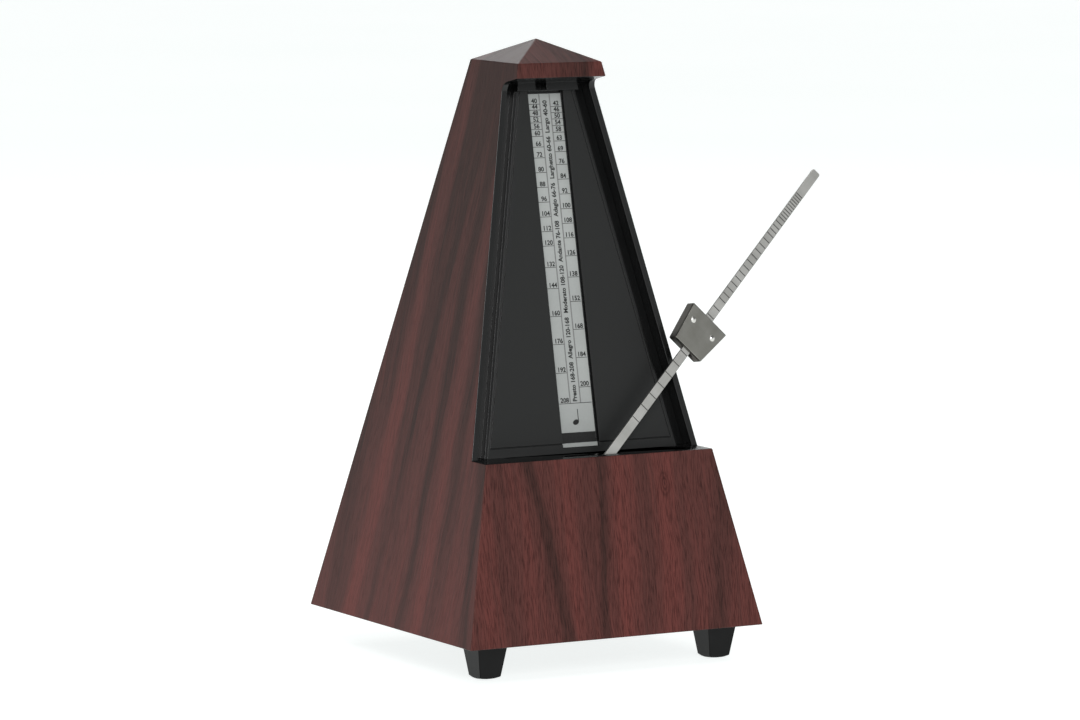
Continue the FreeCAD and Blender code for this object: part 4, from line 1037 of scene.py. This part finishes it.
def grow_rod(finish):
    """The rod with a notch for every tempo, stood in its released place."""
    tempos = sorted(LEFT_TEMPOS + RIGHT_TEMPOS)
    front = ROD_THICKNESS / 2
    marks = [(0, tempo_distance(beats), front) for beats in tempos]
    rod = grown("notched_rod", points_mesh("tempo_marks", marks), make_rod_tree(), {
        "Rod width": ROD_WIDTH, "Rod length": ROD_TOP - ROD_BOTTOM,
        "Rod middle": (ROD_TOP + ROD_BOTTOM) / 2, "Rod thickness": ROD_THICKNESS,
        "Corner radius": ROD_CORNER, "Notch length": NOTCH_LENGTH, "Notch depth": NOTCH_DEPTH,
        "Verge radius": VERGE_HOLE_R, "Rivet radius": HUB_RIVET_R,
        "Rivet place": HUB_RIVET_PLACE, "Steel": finish,
    })
    frame_of_rod = Matrix((ROD_ACROSS, ROD_WAY, -VERGE_WAY)).transposed().to_4x4()
    rod.data.transform(Matrix.Translation(PIVOT) @ frame_of_rod)
    rod.data.shade_smooth()
    rod.data.set_sharp_from_angle(angle=SHARP_EDGE)
    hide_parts("pendulum_rod")
    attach(rod, "pendulum")


def make_cast_metal():
    """Dull grey casting with a rough skin."""
    finish = new_finish("cast_metal", metallic=0.9)
    skin = mottled(finish, 0.0011, 5.0)
    surface(finish, Base_Color=ramp(finish, skin, [(0.3, (0.10, 0.10, 0.105, 1)),
                                                   (0.7, (0.21, 0.21, 0.215, 1))]))
    surface(finish, Roughness=calc(finish, "MULTIPLY_ADD", skin, 0.3, 0.42))
    surface(finish, Normal=bump(finish, skin, 0.00012, 0.6))
    return finish


grow_rod(make_rod_steel())
finish_parts(turned_steel, "verge_arbor")
finish_parts(zinc_plate, "bob_screw")
finish_parts(nickel_plate, "hub_rivets")
finish_parts(make_brushed_brass("hub_brass", PIVOT.y, PIVOT.z), "pendulum_hub")
finish_parts(make_cast_metal(), "lower_bob")


# ---- Sliding weight ----
# A satin nickel-grey block, wider at the top, that slides on the rod. A leaf spring inside it is
# held by two domed rivets, which show on the front.
WEIGHT_EDGE = 0.00025


def make_satin_nickel():
    """Nickel brushed across the rod."""
    finish = new_finish("satin_nickel", metallic=1.0)
    along, across = measure(finish, ROD_WAY), measure(finish, ROD_ACROSS)
    brushed = cloudy(finish, (calc(finish, "DIVIDE", along, 0.00014),
                              calc(finish, "DIVIDE", across, 0.010), 2.0), 3.0)
    wide = cloudy(finish, (calc(finish, "DIVIDE", along, 0.006),
                           calc(finish, "DIVIDE", across, 0.006), 5.0), 3.0)
    tone = calc(finish, "MULTIPLY_ADD", brushed, 0.35, wide)
    surface(finish, Base_Color=ramp(finish, tone, [(0.40, (0.195, 0.19, 0.170, 1)),
                                                   (0.95, (0.275, 0.27, 0.25, 1))]))
    surface(finish, Roughness=calc(finish, "MULTIPLY_ADD", wide, 0.18, 0.30))
    surface(finish, Normal=bump(finish, brushed, 0.00001, 0.5))
    return finish


def round_outside_only(piece):
    """Leave the inner corners of the rod's way and the spring's pocket square."""
    form = bmesh.new()
    form.from_mesh(piece.data)
    weights = form.edges.layers.float.new("bevel_weight_edge")
    for edge in form.edges:
        bent = len(edge.link_faces) == 2 and edge.calc_face_angle_signed() > BENT_EDGE
        edge[weights] = 1.0 if bent else 0.0
    form.to_mesh(piece.data)
    form.free()
    piece.modifiers["rounding"].limit_method = "WEIGHT"


satin_nickel = make_satin_nickel()
weight = eased("sliding_weight", WEIGHT_EDGE, satin_nickel, "weight")
round_outside_only(weight)
finish_parts(nickel_plate, "weight_rivets")


# ---- Table top, light and camera ----
# A white light table that glows evenly, so that hardly any shadow falls on it, in a white room with
# a dark ceiling. Soft lamps hang at the front left, above, and behind for the sheen on the roof.
TABLE_GLOW = 0.86
TABLE_HALF = 12.0
LENS = 182.64
SENSOR = 36.0
CAMERA_ROLL = math.radians(0.178)
CAMERA_PLACE = Vector((-0.94878, -1.64164, 0.31525))
CAMERA_WAY = Vector((0.49804, 0.85989, -0.11199))


def make_light_table():
    """White glass lit from below, a little uneven."""
    finish = new_finish("light_table", 0.6, 0.2)
    shader = finish.node_tree.nodes["Principled BSDF"]
    shader.inputs["Emission Strength"].default_value = TABLE_GLOW
    soft = mottled(finish, 0.4, 1.0)
    glow = ramp(finish, soft, [(0.2, (0.955, 0.99, 0.98, 1)), (0.8, (0.975, 1.0, 0.995, 1))])
    skin = blend_colours(finish, 1.0, glow, (0.32, 0.32, 0.32, 1), "MULTIPLY")
    surface(finish, Base_Color=skin, Emission_Color=glow)
    return finish


table = bmesh.new()
bmesh.ops.create_grid(table, x_segments=12, y_segments=12, size=TABLE_HALF)
table_mesh = bpy.data.meshes.new("table_top")
table.to_mesh(table_mesh)
table.free()
add_piece("table_top", table_mesh, make_light_table())

sky = bpy.data.worlds.new("white_room")
sky.use_nodes = True
direction = node(sky, "ShaderNodeTexCoord").outputs["Generated"]
height = node(sky, "ShaderNodeSeparateXYZ", {0: direction}).outputs["Z"]
shade = ramp(sky, height, [(0.05, (0.98, 1.0, 1.0, 1)), (0.45, (0.22, 0.225, 0.225, 1))])
sky.node_tree.links.new(shade, sky.node_tree.nodes["Background"].inputs["Color"])
bpy.context.scene.world = sky


def hang_lamp(name, where, towards, size, power):
    """A square soft lamp that looks at a point."""
    light = bpy.data.lights.new(name, "AREA")
    light.size = size
    light.energy = power
    lamp = bpy.data.objects.new(name, light)
    bpy.context.scene.collection.objects.link(lamp)
    lamp.location = where
    lamp.rotation_euler = (Vector(towards) - Vector(where)).to_track_quat("-Z", "Y").to_euler()


hang_lamp("front_lamp", (-0.9, -1.9, 1.2), (0, 0, 0.10), size=0.9, power=26.0)
hang_lamp("top_lamp", (-0.5, -0.2, 1.6), (0, 0, 0.12), size=1.0, power=8.0)
hang_lamp("back_lamp", (0.7, 1.5, 1.2), (0, 0, 0.20), size=0.9, power=7.0)

forward = CAMERA_WAY.normalized()
level = forward.cross(Vector((0, 0, 1))).normalized()
right = level * math.cos(CAMERA_ROLL) + level.cross(forward) * math.sin(CAMERA_ROLL)
above = right.cross(forward)
lens = bpy.data.cameras.new("camera")
lens.sensor_width = SENSOR
lens.lens = LENS
lens.clip_start = 0.05
camera = bpy.data.objects.new("camera", lens)
bpy.context.scene.collection.objects.link(camera)
camera.matrix_world = Matrix((
    (right.x, above.x, -forward.x, CAMERA_PLACE.x),
    (right.y, above.y, -forward.y, CAMERA_PLACE.y),
    (right.z, above.z, -forward.z, CAMERA_PLACE.z),
    (0, 0, 0, 1),
))
bpy.context.scene.camera = camera
bpy.context.scene.view_settings.view_transform = "Standard"
